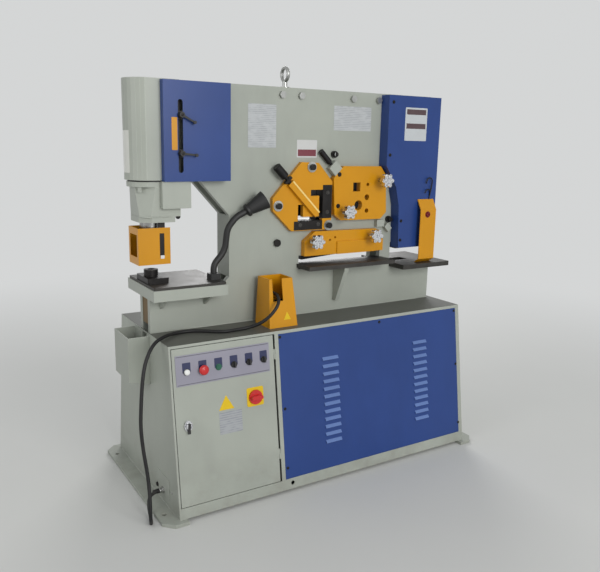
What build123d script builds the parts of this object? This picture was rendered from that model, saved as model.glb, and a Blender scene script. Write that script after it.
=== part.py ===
from build123d import *
import os
from math import cos, pi, radians, sin, sqrt, tan

os.makedirs("parts", exist_ok=True)

# A hydraulic ironworker. Sizes are in millimetres. X runs along the machine towards the notcher,
# the front is at -Y and Z is up. The origin is on the floor, at the centre of the anchor holes.

# Clearances
running_fit = 0.05
body_gap = 0.3

# Cabinet
cabinet_length = 1700
ledge_height = 780
ledge_depth = 642
floor_depth = 851
sheet = 5
ledge_plate = 8
bay_split = -319
foot_thickness = 16
foot_width = 110
foot_depth = 904
foot_overhang = 75
foot_corner = 45
anchor_hole = 22
anchor_inset_x = 33
anchor_inset_y = 110
entry_plate_width = 150
entry_plate_height = 90
entry_plate_thickness = 3

# Door, louvred panel and rear cover, as lengths on the sloped wall
door_left = -838
door_width = 500
door_top = 15
door_height = 704
door_sheet = 3
door_rim = 18
door_gap = 3
hinge_inset = 5
hinge_sink = 2
knuckle = 8
knuckle_length = 24
hinge_pin = 4
hinge_drops = (130, 610)
panel_left = -308
panel_width = 1134
panel_top = 15
panel_height = 705
panel_sheet = 3
panel_gap = 1
panel_lip = 15
louvre_width = 92
louvre_drop = 15
louvre_proud = 8
louvre_pitch = 37.7
louvre_count = 12
louvre_columns = (-22, 556)
louvre_top = 162
louvre_sheet = 1.5
cover_margin = 25

# Controls on the door
control_row = 121
control_pitch = 76
first_control = -774
control_hole = 22
strip_thickness = 2
strip_width = 462
strip_height = 136
bezel = 30
bezel_height = 3
main_switch_u = -447
main_switch_drop = 289
main_switch_knob_size = 68
lock_u = -784
lock_drop = 358
stop_push = 6
start_push = 3

# Slug bin
bin_depth = 200
bin_width = 100
bin_top = 769
bin_height = 231
bin_slope = 22
bin_sheet = 3

# Twin-plate frame
plate_thickness = 30
plate_gap = 70
frame_mid = -27
frame_height = 1900
jaw_left = -845
jaw_top = 950
throat_back = -449
throat_chamfer = 60
arm_low = 1305
arm_nose = -595
arm_end = -700
arm_bottom = 1465
frame_right = 770
notch_ceiling = 1120
notch_back = 530
notch_floor = 985
jaw_right = 821
spacer_bar = 50
tie_bolt = 20
tie_bolt_xs = (-170, -64, 245, 406)
tie_bolt_drop = 35
pivot_x = -191
pivot_z = 1159
pivot_pin = 60
pivot_journal = 40

# Punch end
punch_x = -813
casing_radius = 105
casing_sheet = 2
casing_bottom = 1472
bend_step = 11.25
end_plate = 20
head_bottom = 1288
head_flange = 25
head_half_width = 91
collar_height = 22
collar_radius = 97
ram = 90
ram_bore = 120
ram_stroke = 80
barrel = 180
nut = 84
punch_nose = 30
punch_reach = 5
bracket_height = 50
table_plate = 12
die_holder = 25
die = 64
die_height = 30
guard_sheet = 2
guard_height = 165
strip_space = 30

# Covers and stops
cover_front = -157
cover_sheet = 2
cover_left = -787
cover_right = -471
cover_low = 1468
slot_x = -710
slot_width = 22
slot_low = 1506
slot_high = 1816
stop_rod = 16
stop_heights = (1751, 1589)

# Shear section
beam_thickness = 60
blade_thickness = 30
shear_x = 615
shear_barrel = 190
shear_bore = 140
shear_rod = 60
shear_flange_z = 1400
shear_flange = 40
shear_top = 1848
beam_pad = 1330
rod_gap = 0.5
angle_plate = 25
bar_plate = 33
square_hole = 46
star_knob = 74
star_front = -200
notch_width = 80
notch_clear = 8

# Foot pedal and its cord
pedal_left = -325
pedal_right = -172
pedal_front = -275
pedal_back = -130
pedal_height = 230
pedal_wall = 4
pedal_taper = 13
pedal_lean = 35
cord = 16
gland_y = -234
gland_z = 75

half_length = cabinet_length / 2
flare = (floor_depth - ledge_depth) / 2 / (ledge_height - foot_thickness)
gap_front = frame_mid - plate_gap / 2
gap_back = frame_mid + plate_gap / 2
frame_front = gap_front - plate_thickness
frame_back = gap_back + plate_thickness
door_right = door_left + door_width
hinge_u = door_right + hinge_inset
cover_high = frame_height - 5
table_level = jaw_top + bracket_height + table_plate
die_top = table_level + die_holder + die_height
punch_tip = die_top - punch_reach + ram_stroke
guard_bottom = die_top + strip_space
guard_top = guard_bottom + guard_height
tie_bolt_places = [(x, frame_height - tie_bolt_drop) for x in tie_bolt_xs]
beam_front = frame_mid - beam_thickness / 2
beam_back = frame_mid + beam_thickness / 2


def at_x(x):
    """Upright plane across the machine. Y and Z are drawn, and an extrusion goes towards +X."""
    return Plane.YZ.offset(x)


def at_y(y):
    """Upright plane seen from the front. X and Z are drawn, and an extrusion goes forwards."""
    return Plane.XZ.offset(-y)


def at_z(z):
    """Level plane at a height."""
    return Plane.XY.offset(z)


def pane(left, right, low, high, mode=Mode.ADD):
    """A rectangle in the open sketch, given by its edges."""
    with Locations(((left + right) / 2, (low + high) / 2)):
        Rectangle(right - left, high - low, mode=mode)


def disc(x, y, diameter, mode=Mode.ADD):
    """A circle in the open sketch, given by its centre."""
    with Locations((x, y)):
        Circle(diameter / 2, mode=mode)


def half_depth(z, inset=0):
    """Half the cabinet's depth at a height, less a wall."""
    return ledge_depth / 2 + (ledge_height - z) * flare - inset * sqrt(1 + flare**2)


def cabinet_section(top, bottom, inset=0):
    """The trapezium across the cabinet between two heights."""
    high = half_depth(top, inset)
    low = half_depth(bottom, inset)
    return [(-high, top), (-low, bottom), (low, bottom), (high, top)]


front_face = Plane(origin=(0, -ledge_depth / 2, ledge_height), x_dir=(1, 0, 0), z_dir=(0, -1, flare))
rear_face = Plane(origin=(0, ledge_depth / 2, ledge_height), x_dir=(-1, 0, 0), z_dir=(0, 1, flare))


def face_point(u, drop, proud=0):
    """A point on the sloped front wall: along X, down the slope, and out of the wall."""
    return front_face.from_local_coords((u, -drop, proud))


def face_plane(u, drop, proud=0):
    """The front wall's plane, moved to a point of it."""
    return Plane(origin=face_point(u, drop, proud), x_dir=(1, 0, 0), z_dir=front_face.z_dir)


def hinge_plane(drop):
    """A plane across the door's hinge line, facing up the slope."""
    return Plane(origin=face_point(hinge_u, drop, -hinge_sink), x_dir=(1, 0, 0), z_dir=front_face.y_dir)


# Welded cabinet on its two foot plates
drain_u = -270
drain_drop = 743
drain_hole = 20
bay_floor = foot_thickness + sheet
bay_ceiling = ledge_height - ledge_plate
left_bay = (-half_length + sheet, bay_split - sheet / 2)
right_bay = (bay_split + sheet / 2, half_length - sheet)
opening_bottom = door_top + door_height + door_gap
slug_window = 60
slug_low = 706
entry_low = 60
with BuildPart() as cabinet:
    with BuildSketch(at_x(-half_length)):
        Polygon(*cabinet_section(ledge_height, foot_thickness))
    extrude(amount=cabinet_length)
    for bay_start, bay_end in (left_bay, right_bay):
        with BuildSketch(at_x(bay_start)):
            Polygon(*cabinet_section(bay_ceiling, bay_floor, sheet))
        extrude(amount=bay_end - bay_start, mode=Mode.SUBTRACT)
    with BuildSketch(at_z(0)) as feet:
        foot_x = half_length + foot_overhang - foot_width / 2
        with Locations((-foot_x, 0), (foot_x, 0)):
            Rectangle(foot_width, foot_depth)
        chamfer(feet.vertices().group_by(Axis.X)[0] + feet.vertices().group_by(Axis.X)[-1], foot_corner)
        anchor_x = half_length + foot_overhang - anchor_inset_x
        anchor_y = foot_depth / 2 - anchor_inset_y
        with GridLocations(2 * anchor_x, 2 * anchor_y, 2, 2):
            Circle(anchor_hole / 2, mode=Mode.SUBTRACT)
    extrude(amount=foot_thickness)
    with BuildSketch(front_face):
        pane(door_left - door_gap, hinge_u + hinge_inset, -opening_bottom, -door_top + door_gap)
        pane(panel_left + panel_lip, panel_left + panel_width - panel_lip,
             -panel_top - panel_height + panel_lip, -panel_top - panel_lip)
        disc(drain_u, -drain_drop, drain_hole)
    extrude(amount=-2 * sheet, mode=Mode.SUBTRACT)
    with BuildSketch(front_face):
        pane(panel_left, panel_left + panel_width, -panel_top - panel_height, -panel_top)
    extrude(amount=-panel_sheet, mode=Mode.SUBTRACT)
    with BuildSketch(rear_face):
        pane(-panel_left - panel_width + panel_lip, -panel_left - panel_lip,
             -panel_top - panel_height + panel_lip, -panel_top - panel_lip - cover_margin)
    extrude(amount=-2 * sheet, mode=Mode.SUBTRACT)
    for drop in hinge_drops:
        with BuildSketch(hinge_plane(drop)):
            Circle(knuckle / 2)
            pane(0, hinge_inset, -door_sheet / 2, door_sheet / 2)
        extrude(amount=knuckle_length)
        with BuildSketch(hinge_plane(drop)):
            Circle(hinge_pin / 2)
        extrude(amount=2 * knuckle_length - 3)
    with BuildSketch(at_x(-half_length - entry_plate_thickness)):
        pane(gland_y - entry_plate_width / 2, gland_y + entry_plate_width / 2,
             entry_low, entry_low + entry_plate_height)
    extrude(amount=entry_plate_thickness)
    with BuildSketch(at_x(-half_length - entry_plate_thickness)):
        disc(gland_y, gland_z, cord + 2)
    extrude(amount=entry_plate_thickness + sheet, mode=Mode.SUBTRACT)
    # Slug chute under the punch: a sloping sheet between two cheeks, out through the end wall
    chute_run = bay_ceiling - slug_low
    with BuildSketch(at_y(frame_mid + slug_window / 2 + bin_sheet)):
        Polygon((-half_length + sheet, bay_ceiling), (-half_length + sheet, slug_low - bin_sheet),
                (-half_length + sheet + chute_run + bin_sheet, bay_ceiling))
    extrude(amount=slug_window + 2 * bin_sheet)
    with BuildSketch(at_y(frame_mid + slug_window / 2)):
        Polygon((-half_length, ledge_height), (-half_length, slug_low - sheet),
                (-half_length + sheet, slug_low), (-half_length + sheet + chute_run, bay_ceiling),
                (-half_length + sheet + chute_run, ledge_height))
        pane(-half_length, -half_length + sheet, bay_ceiling, ledge_height, mode=Mode.SUBTRACT)
    extrude(amount=slug_window, mode=Mode.SUBTRACT)
    # The left end wall, with its side of the foot, is a plate of its own, butted against the folded sheets
    split(bisect_by=at_x(-half_length + sheet), keep=Keep.BOTH)
cabinet.part.label = "cabinet"
export_step(cabinet.part, "parts/cabinet.step")

# Slug bin hung on the end wall, open at the top, with a sloping floor
bin_left = -half_length - bin_width
bin_low = bin_top - bin_height
bin_mid = frame_mid + 40
with BuildPart() as slug_bin:
    with BuildSketch(at_y(bin_mid + bin_depth / 2)):
        Polygon((-half_length, bin_top), (bin_left, bin_top), (bin_left, bin_low + bin_slope), (-half_length, bin_low))
    extrude(amount=bin_depth)
    with BuildSketch(at_y(bin_mid + bin_depth / 2 - bin_sheet)):
        Polygon((-half_length - bin_sheet, bin_top), (bin_left + bin_sheet, bin_top),
                (bin_left + bin_sheet, bin_low + bin_slope + bin_sheet), (-half_length - bin_sheet, bin_low + bin_sheet))
    extrude(amount=bin_depth - 2 * bin_sheet, mode=Mode.SUBTRACT)
    with BuildSketch(at_x(-half_length - bin_sheet)):
        pane(frame_mid - slug_window / 2, frame_mid + slug_window / 2, slug_low - sheet, bin_top)
    extrude(amount=bin_sheet, mode=Mode.SUBTRACT)
slug_bin.part.label = "slug_bin"
export_step(slug_bin.part, "parts/slug_bin.step")

# Louvred panel: formed hoods over slots, in two columns
louvre_slots = [(0, -louvre_top - row * louvre_pitch) for row in range(louvre_count)]
with BuildPart() as louvred_panel:
    with BuildSketch(front_face.offset(-panel_sheet)):
        pane(panel_left + panel_gap, panel_left + panel_width - panel_gap,
             -panel_top - panel_height + panel_gap, -panel_top - panel_gap)
    extrude(amount=panel_sheet)
    for column in louvre_columns:
        hood_end = column + louvre_width / 2
        hood_plane = Plane(origin=face_point(hood_end, 0), x_dir=front_face.z_dir, z_dir=(-1, 0, 0))
        with BuildSketch(hood_plane):
            with Locations(*louvre_slots):
                Polygon((0, 0), (louvre_proud, -louvre_drop), (0, -louvre_drop))
        extrude(amount=louvre_width)
        throat_plane = hood_plane.offset(louvre_sheet)
        with BuildSketch(throat_plane):
            with Locations(*louvre_slots):
                Polygon((-panel_sheet, -2 * louvre_sheet), (0, -2 * louvre_sheet),
                        (louvre_proud - louvre_sheet, -louvre_drop), (-panel_sheet, -louvre_drop))
        extrude(amount=louvre_width - 2 * louvre_sheet, mode=Mode.SUBTRACT)
louvred_panel.part.label = "louvred_panel"
export_step(louvred_panel.part, "parts/louvred_panel.step")

# Service cover on the rear wall, with a folded rim that stands against the wall
with BuildPart() as rear_cover:
    with BuildSketch(rear_face):
        pane(-panel_left - panel_width, -panel_left, -panel_top - panel_height, -panel_top - cover_margin)
    extrude(amount=door_rim / 2)
    with BuildSketch(rear_face):
        pane(-panel_left - panel_width + cover_sheet, -panel_left - cover_sheet,
             -panel_top - panel_height + cover_sheet, -panel_top - cover_margin - cover_sheet)
    extrude(amount=door_rim / 2 - cover_sheet, mode=Mode.SUBTRACT)
rear_cover.part.label = "rear_cover"
export_step(rear_cover.part, "parts/rear_cover.step")

# Power unit in the right bay: tank with lid and valve block, motor with bell housing and pump
tank_left = -250
tank_length = 560
tank_depth = 420
tank_height = 380
motor = 220
motor_x = 560
motor_length = 300
motor_axis = bay_floor + 150
with BuildPart() as power_unit:
    with BuildSketch(at_z(bay_floor)):
        with Locations((tank_left + tank_length / 2, 0)):
            RectangleRounded(tank_length, tank_depth, 20)
    extrude(amount=tank_height)
    with BuildSketch(at_z(bay_floor + tank_height)):
        with Locations((tank_left + tank_length / 2, 0)):
            RectangleRounded(tank_length + 24, tank_depth + 24, 26)
    extrude(amount=8)
    with BuildSketch(at_z(bay_floor + tank_height + 8)):
        with Locations((tank_left + 120, -40)):
            Rectangle(150, 110)
        with Locations((tank_left + 440, 80)):
            Circle(32)
    extrude(amount=90)
    with BuildSketch(at_x(motor_x - motor_length / 2)):
        disc(0, motor_axis, motor)
    extrude(amount=motor_length)
    with BuildSketch(at_x(motor_x - motor_length / 2 - 80)):
        disc(0, motor_axis, motor * 0.7)
    extrude(amount=80)
    with BuildSketch(at_x(motor_x - 110)):
        pane(-motor / 2, motor / 2, bay_floor, bay_floor + 12)
        pane(-motor * 0.36, motor * 0.36, bay_floor, motor_axis)
    extrude(amount=220)
power_unit.part.label = "power_unit"
export_step(power_unit.part, "parts/power_unit.step")

# Back plate in the left bay, with contactors, overload relay, transformer and terminal strip
back_plate_y = 150
contactors = (-770, -700, -630, -560)
with BuildPart() as contactor_plate:
    with BuildSketch(at_y(back_plate_y + door_sheet)):
        pane(left_bay[0], left_bay[1], bay_floor, slug_low - 20)
    extrude(amount=door_sheet)
    with BuildSketch(at_y(back_plate_y)):
        pane(contactors[0] - 30, contactors[-1] + 110, 535, 570)
        pane(contactors[0] - 30, contactors[-1] + 110, 335, 370)
    extrude(amount=8)
    with BuildSketch(at_y(back_plate_y - 8)):
        for place in contactors:
            pane(place - 24, place + 24, 510, 595)
        pane(-500, -440, 505, 600)
        pane(contactors[0] - 20, contactors[-1], 325, 380)
        pane(-520, -400, 300, 400)
    extrude(amount=62)
    with BuildSketch(at_y(back_plate_y)):
        pane(contactors[0] - 30, contactors[-1] + 120, 430, 470)
        pane(contactors[0] - 30, contactors[-1] + 120, 230, 270)
    extrude(amount=40)
contactor_plate.part.label = "contactor_plate"
export_step(contactor_plate.part, "parts/contactor_plate.step")

# Cord gland: hexagon, dome and the bore that the cord enters
gland_length = 22
with BuildPart() as cord_gland:
    with BuildSketch(at_x(-half_length - entry_plate_thickness - 8)):
        with Locations((gland_y, gland_z)):
            RegularPolygon(16, 6)
    extrude(amount=8)
    with BuildSketch(at_x(-half_length - entry_plate_thickness - gland_length)):
        disc(gland_y, gland_z, cord + 8)
    extrude(amount=gland_length - 8)
    fillet(cord_gland.edges().group_by(Axis.X)[0], 3)
cord_gland.part.label = "cord_gland"
export_step(cord_gland.part, "parts/cord_gland.step")

# Windows of the frame plates
angle_left = -106
angle_right = 116
angle_low = 1218
angle_high = 1439
bar_left = 235
bar_right = 385
bar_low = 1280
bar_high = 1460
mouth_left = -60
mouth_right = 460
mouth_low = 1045
mouth_high = 1085
blade_height = 30
exit_margin = 10


def frame_outline():
    """The outline that both frame plates share, with the bores of pivot pin and tie bolts."""
    Polygon(
        (jaw_left, ledge_height), (jaw_left, jaw_top), (throat_back - throat_chamfer, jaw_top),
        (throat_back, jaw_top + throat_chamfer), (throat_back, arm_low), (arm_nose, arm_bottom),
        (arm_end, arm_bottom), (arm_end, frame_height), (frame_right, frame_height),
        (frame_right, notch_ceiling), (notch_back, notch_ceiling), (notch_back, notch_floor),
        (jaw_right, notch_floor), (jaw_right, ledge_height),
    )
    disc(pivot_x, pivot_z, pivot_journal + 2 * running_fit, mode=Mode.SUBTRACT)
    for place in tie_bolt_places:
        disc(*place, tie_bolt + 1, mode=Mode.SUBTRACT)
    pane(shear_x - shear_barrel / 2, shear_x + shear_barrel / 2,
         shear_flange_z, frame_height - spacer_bar, mode=Mode.SUBTRACT)


with BuildPart() as front_frame_plate:
    with BuildSketch(at_y(gap_front)):
        frame_outline()
        pane(angle_left, angle_right, angle_low, angle_high, mode=Mode.SUBTRACT)
        pane(bar_left, bar_right, bar_low, bar_high, mode=Mode.SUBTRACT)
        pane(mouth_left, mouth_right, mouth_low - blade_height, mouth_high, mode=Mode.SUBTRACT)
    extrude(amount=plate_thickness)
front_frame_plate.part.label = "front_frame_plate"
export_step(front_frame_plate.part, "parts/front_frame_plate.step")

with BuildPart() as rear_frame_plate:
    with BuildSketch(at_y(frame_back)):
        frame_outline()
        pane(angle_left - exit_margin, angle_right + exit_margin, angle_low - exit_margin,
             angle_high + exit_margin, mode=Mode.SUBTRACT)
        pane(bar_left - exit_margin, bar_right + exit_margin, bar_low - exit_margin,
             bar_high + exit_margin, mode=Mode.SUBTRACT)
        pane(mouth_left - exit_margin, mouth_right + exit_margin, mouth_low - blade_height - exit_margin,
             mouth_high + exit_margin, mode=Mode.SUBTRACT)
    extrude(amount=plate_thickness)
rear_frame_plate.part.label = "rear_frame_plate"
export_step(rear_frame_plate.part, "parts/rear_frame_plate.step")

# Bars between the plates, and the beam's pivot pin with its journals
eye_x = -117
eye_stud = 24
pin_proud = 4
with BuildPart() as frame_spacers:
    with BuildSketch(at_y(gap_back)):
        pane(arm_end, frame_right, frame_height - spacer_bar, frame_height)
        pane(arm_end, arm_end + 40, arm_bottom, frame_height - spacer_bar)
        pane(frame_right - 30, frame_right, notch_ceiling, frame_height - spacer_bar)
        pane(throat_back, throat_back + 40, jaw_top + throat_chamfer, arm_low)
        pane(jaw_left + 75, jaw_right - 20, ledge_height, ledge_height + 70)
        for place in tie_bolt_places:
            disc(*place, tie_bolt + 1, mode=Mode.SUBTRACT)
    extrude(amount=plate_gap)
    with BuildSketch(at_z(frame_height)):
        disc(eye_x, frame_mid, eye_stud + 2 * running_fit)
    extrude(amount=-spacer_bar + 20, mode=Mode.SUBTRACT)
    with BuildSketch(at_y(gap_back)):
        disc(pivot_x, pivot_z, pivot_pin)
    extrude(amount=plate_gap)
    with BuildSketch(at_y(frame_back + pin_proud)):
        disc(pivot_x, pivot_z, pivot_journal)
    extrude(amount=plate_gap + 2 * (plate_thickness + pin_proud))
frame_spacers.part.label = "frame_spacers"
export_step(frame_spacers.part, "parts/frame_spacers.step")

# Tie bolts through both plates, and the angle plate's three washer bolts and two set bolts
bolt_head = 15
bolt_flats = 30
washer_bolts = ((-8, 1528), (-198, 1342), (98, 1236))
set_bolts = ((136, 1590), (505, 1248))
washer = 52
pivot_bolt = 36
angle_front = frame_front - angle_plate
with BuildPart() as machine_bolts:
    with BuildSketch(at_y(frame_back + bolt_head)):
        for place in tie_bolt_places:
            with Locations(place):
                RegularPolygon(bolt_flats / 2, 6, major_radius=False)
    extrude(amount=bolt_head)
    with BuildSketch(at_y(frame_back)):
        for place in tie_bolt_places:
            disc(*place, tie_bolt)
    extrude(amount=plate_gap + 2 * plate_thickness)
    with BuildSketch(at_y(frame_front)):
        for place in tie_bolt_places:
            with Locations(place):
                RegularPolygon(bolt_flats / 2, 6, major_radius=False)
        for place in set_bolts:
            disc(*place, 34)
    extrude(amount=bolt_head)
    with BuildSketch(at_y(frame_front - bolt_head)):
        for place in set_bolts:
            disc(*place, 24)
    extrude(amount=14)
    with BuildSketch(at_y(angle_front)):
        for place in washer_bolts:
            disc(*place, washer)
    extrude(amount=4)
    with BuildSketch(at_y(angle_front - 4)):
        for place in washer_bolts:
            disc(*place, 30)
    extrude(amount=14)
    with BuildSketch(at_y(frame_front - pin_proud)):
        disc(pivot_x, pivot_z, pivot_bolt)
    extrude(amount=12)
machine_bolts.part.label = "machine_bolts"
export_step(machine_bolts.part, "parts/machine_bolts.step")

# Lifting eye screwed into the top bar
eye_ring = 30.5
eye_wire = 17
eye_collar = 7
eye_centre = frame_height + 65
with BuildPart() as lifting_eye:
    with BuildSketch(at_z(frame_height)):
        disc(eye_x, frame_mid, 44)
    extrude(amount=eye_collar)
    with BuildSketch(at_z(frame_height - spacer_bar + 25)):
        disc(eye_x, frame_mid, eye_stud)
    extrude(amount=eye_centre - eye_ring - frame_height + spacer_bar - 25)
    with BuildSketch(at_z(eye_centre)):
        disc(eye_x, frame_mid + eye_ring, eye_wire)
    revolve(axis=Axis((eye_x, frame_mid, eye_centre), (1, 0, 0)))
lifting_eye.part.label = "lifting_eye"
export_step(lifting_eye.part, "parts/lifting_eye.step")

# Strip that closes the gap at the jaw's end, so that slugs fall to the chute
with BuildPart() as jaw_strip:
    with BuildSketch(at_y(gap_back)):
        pane(jaw_left + 2, jaw_left + 10, ledge_height + 37, jaw_top - 6)
    extrude(amount=plate_gap)
jaw_strip.part.label = "jaw_strip"
export_step(jaw_strip.part, "parts/jaw_strip.step")


def casing_outline(radius, right):
    """The casing in plan: flat sides, and a half round of short flats round the punch axis."""
    start = 22.5
    folds = [start + bend_step * step for step in range(int((180 - 2 * start) / bend_step) + 1)]
    rounded = [(punch_x - radius * sin(radians(a)), frame_mid - radius * cos(radians(a))) for a in folds]
    return [(right, rounded[0][1])] + rounded + [(right, rounded[-1][1])]


# Faceted sheet casing over the punch cylinder
with BuildPart() as cylinder_casing:
    with BuildSketch(at_z(casing_bottom)):
        Polygon(*casing_outline(casing_radius, arm_end))
    extrude(amount=frame_height - casing_bottom)
    with BuildSketch(at_z(casing_bottom)):
        Polygon(*casing_outline(casing_radius - casing_sheet, arm_end))
    extrude(amount=frame_height - casing_bottom - casing_sheet, mode=Mode.SUBTRACT)
cylinder_casing.part.label = "cylinder_casing"
export_step(cylinder_casing.part, "parts/cylinder_casing.step")

# Punch cylinder, standing on the head
barrel_floor = 35
with BuildPart() as punch_cylinder:
    with BuildSketch(at_z(arm_bottom)):
        disc(punch_x, frame_mid, barrel)
    extrude(amount=395)
    with BuildSketch(at_z(arm_bottom + barrel_floor)):
        disc(punch_x, frame_mid, ram_bore + 2 * running_fit)
    extrude(amount=330, mode=Mode.SUBTRACT)
    with BuildSketch(at_z(arm_bottom)):
        disc(punch_x, frame_mid, ram + 2 * running_fit)
    extrude(amount=barrel_floor, mode=Mode.SUBTRACT)
punch_cylinder.part.label = "punch_cylinder"
export_step(punch_cylinder.part, "parts/punch_cylinder.step")


def head_section(left, corner, right, slope):
    """The punch head in plan, with bevelled outer corners."""
    front = frame_mid - head_half_width
    back = frame_mid + head_half_width
    bevel = slope * (corner - left)
    return [(right, front), (corner, front), (left, front + bevel), (left, back - bevel), (corner, back), (right, back)]


# Punch head: a collar under the casing, a tapered casting, a flange below and the end plate on the arm
# (one bevel slope for both ends of the taper, so that its faces are plane)
head_bevel = 0.75
collar_low = arm_bottom - collar_height
flange_top = head_bottom + head_flange
plate_left = arm_end - end_plate
plate_mid = arm_end - end_plate / 2
casing_half = (casing_radius - casing_sheet) * cos(radians(22.5))
hanger_front = frame_mid - 62
hanger = 10
with BuildPart() as punch_head:
    with BuildSketch(at_z(flange_top)):
        Polygon(*head_section(punch_x - 66, punch_x - 25, plate_mid, head_bevel))
    with BuildSketch(at_z(collar_low)):
        Polygon(*head_section(punch_x - 77, punch_x - 1, plate_mid, head_bevel))
    loft(ruled=True)
    with BuildSketch(at_z(collar_low)):
        Polygon(*casing_outline(collar_radius, plate_mid))
    extrude(amount=collar_height)
    with BuildSketch(at_z(head_bottom)):
        Polygon(*head_section(punch_x - 68, punch_x - 20, plate_left - 6, head_bevel))
    extrude(amount=head_flange)
    with BuildSketch(at_x(plate_left)):
        pane(frame_mid - head_half_width, frame_mid + head_half_width, flange_top, casing_bottom)
        pane(frame_mid - casing_half, frame_mid + casing_half, casing_bottom, frame_height - 10)
    extrude(amount=end_plate)
    for side, thickness in ((hanger_front, -hanger), (2 * frame_mid - hanger_front, hanger)):
        with BuildSketch(at_y(side)):
            pane(punch_x + 18, punch_x + 48, guard_bottom + 40, head_bottom)
        extrude(amount=thickness)
    with BuildSketch(at_z(head_bottom)):
        disc(punch_x, frame_mid, ram + 2 * running_fit)
    extrude(amount=arm_bottom - head_bottom, mode=Mode.SUBTRACT)
punch_head.part.label = "punch_head"
export_step(punch_head.part, "parts/punch_head.step")

# Ram with its piston, drawn up at rest
ram_low = punch_tip + 105
piston_low = 1700
with BuildPart() as punch_ram:
    with BuildSketch(at_z(ram_low)):
        disc(punch_x, frame_mid, ram)
    extrude(amount=piston_low - ram_low)
    with BuildSketch(at_z(piston_low)):
        disc(punch_x, frame_mid, ram_bore)
    extrude(amount=45)
punch_ram.part.label = "punch_ram"
export_step(punch_ram.part, "parts/punch_ram.step")

# Coupling nut with four spanner notches, and the punch
with BuildPart() as punch:
    with BuildSketch(at_z(ram_low - 45)):
        disc(punch_x, frame_mid, nut)
        with Locations((punch_x, frame_mid)):
            with PolarLocations(nut / 2, 4, start_angle=45):
                Rectangle(8, 12, mode=Mode.SUBTRACT)
    extrude(amount=45)
    with BuildSketch(at_z(punch_tip + 35)):
        disc(punch_x, frame_mid, 40)
    extrude(amount=ram_low - 45 - punch_tip - 35)
    with BuildSketch(at_z(punch_tip)):
        disc(punch_x, frame_mid, punch_nose)
    extrude(amount=35)
punch.part.label = "punch"
export_step(punch.part, "parts/punch.step")

# Switch box on the front of the punch head
with BuildPart() as switch_box:
    with BuildSketch(at_y(frame_mid - head_half_width)):
        pane(punch_x + 20, plate_left + 60, 1350, cover_low)
    extrude(amount=27)
    fillet(switch_box.edges().filter_by(Axis.Y), 3)
switch_box.part.label = "switch_box"
export_step(switch_box.part, "parts/switch_box.step")

# Punch cover: a folded sheet box on each side of the arm, the front one with the stroke slot
casing_front = frame_mid - casing_radius * cos(radians(22.5))
with BuildPart() as punch_cover:
    with BuildSketch(at_z(cover_low)):
        pane(cover_left, cover_right, cover_front, casing_front)
        pane(arm_end, cover_right, casing_front, frame_front)
    extrude(amount=cover_high - cover_low)
    with BuildSketch(at_z(cover_low + cover_sheet)):
        pane(cover_left + cover_sheet, cover_right - cover_sheet, cover_front + cover_sheet, casing_front)
        pane(arm_end, cover_right - cover_sheet, casing_front, frame_front)
    extrude(amount=cover_high - cover_low - 2 * cover_sheet, mode=Mode.SUBTRACT)
    mirror(about=at_y(frame_mid))
    with BuildSketch(at_y(cover_front + cover_sheet)):
        with Locations((slot_x, (slot_low + slot_high) / 2)):
            SlotOverall(slot_high - slot_low, slot_width, rotation=90)
    extrude(amount=cover_sheet, mode=Mode.SUBTRACT)
punch_cover.part.label = "punch_cover"
export_step(punch_cover.part, "parts/punch_cover.step")

# Two stops that slide in the slot: a block behind the sheet, a rod through the slot and a hub
block_front = cover_front + cover_sheet + body_gap
hub = 28
hub_back = cover_front - body_gap
hub_front = hub_back - 10
for name, height in zip(("upper_stop", "lower_stop"), stop_heights):
    with BuildPart() as stop:
        with BuildSketch(at_y(block_front + 14)):
            pane(slot_x - 17, slot_x + 17, height - 17, height + 17)
        extrude(amount=14)
        with BuildSketch(at_y(block_front)):
            disc(slot_x, height, stop_rod)
        extrude(amount=block_front - hub_front)
        with BuildSketch(at_y(hub_back)):
            disc(slot_x, height, hub)
        extrude(amount=hub_back - hub_front)
    stop.part.label = name
    export_step(stop.part, f"parts/{name}.step")

# Clamp levers on the stops: a boss and an arm that tapers to a ball
lever_length = 66
for name, height, angle in zip(("upper_lever", "lower_lever"), stop_heights, (-27, -6)):
    arm_dir = (cos(radians(angle)), 0, sin(radians(angle)))
    lever_plane = Plane(origin=(slot_x, hub_front - body_gap, height), x_dir=arm_dir, z_dir=(0, -1, 0))
    with BuildPart() as lever:
        with BuildSketch(lever_plane):
            Circle(hub / 2 - 2)
        extrude(amount=14)
        with BuildSketch(lever_plane.offset(4)):
            Polygon((0, -5), (lever_length, -3.5), (lever_length, 3.5), (0, 5))
        extrude(amount=7)
        with BuildSketch(lever_plane.offset(1)):
            disc(lever_length, 0, 14)
        extrude(amount=13)
    lever.part.label = name
    export_step(lever.part, f"parts/{name}.step")

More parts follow.
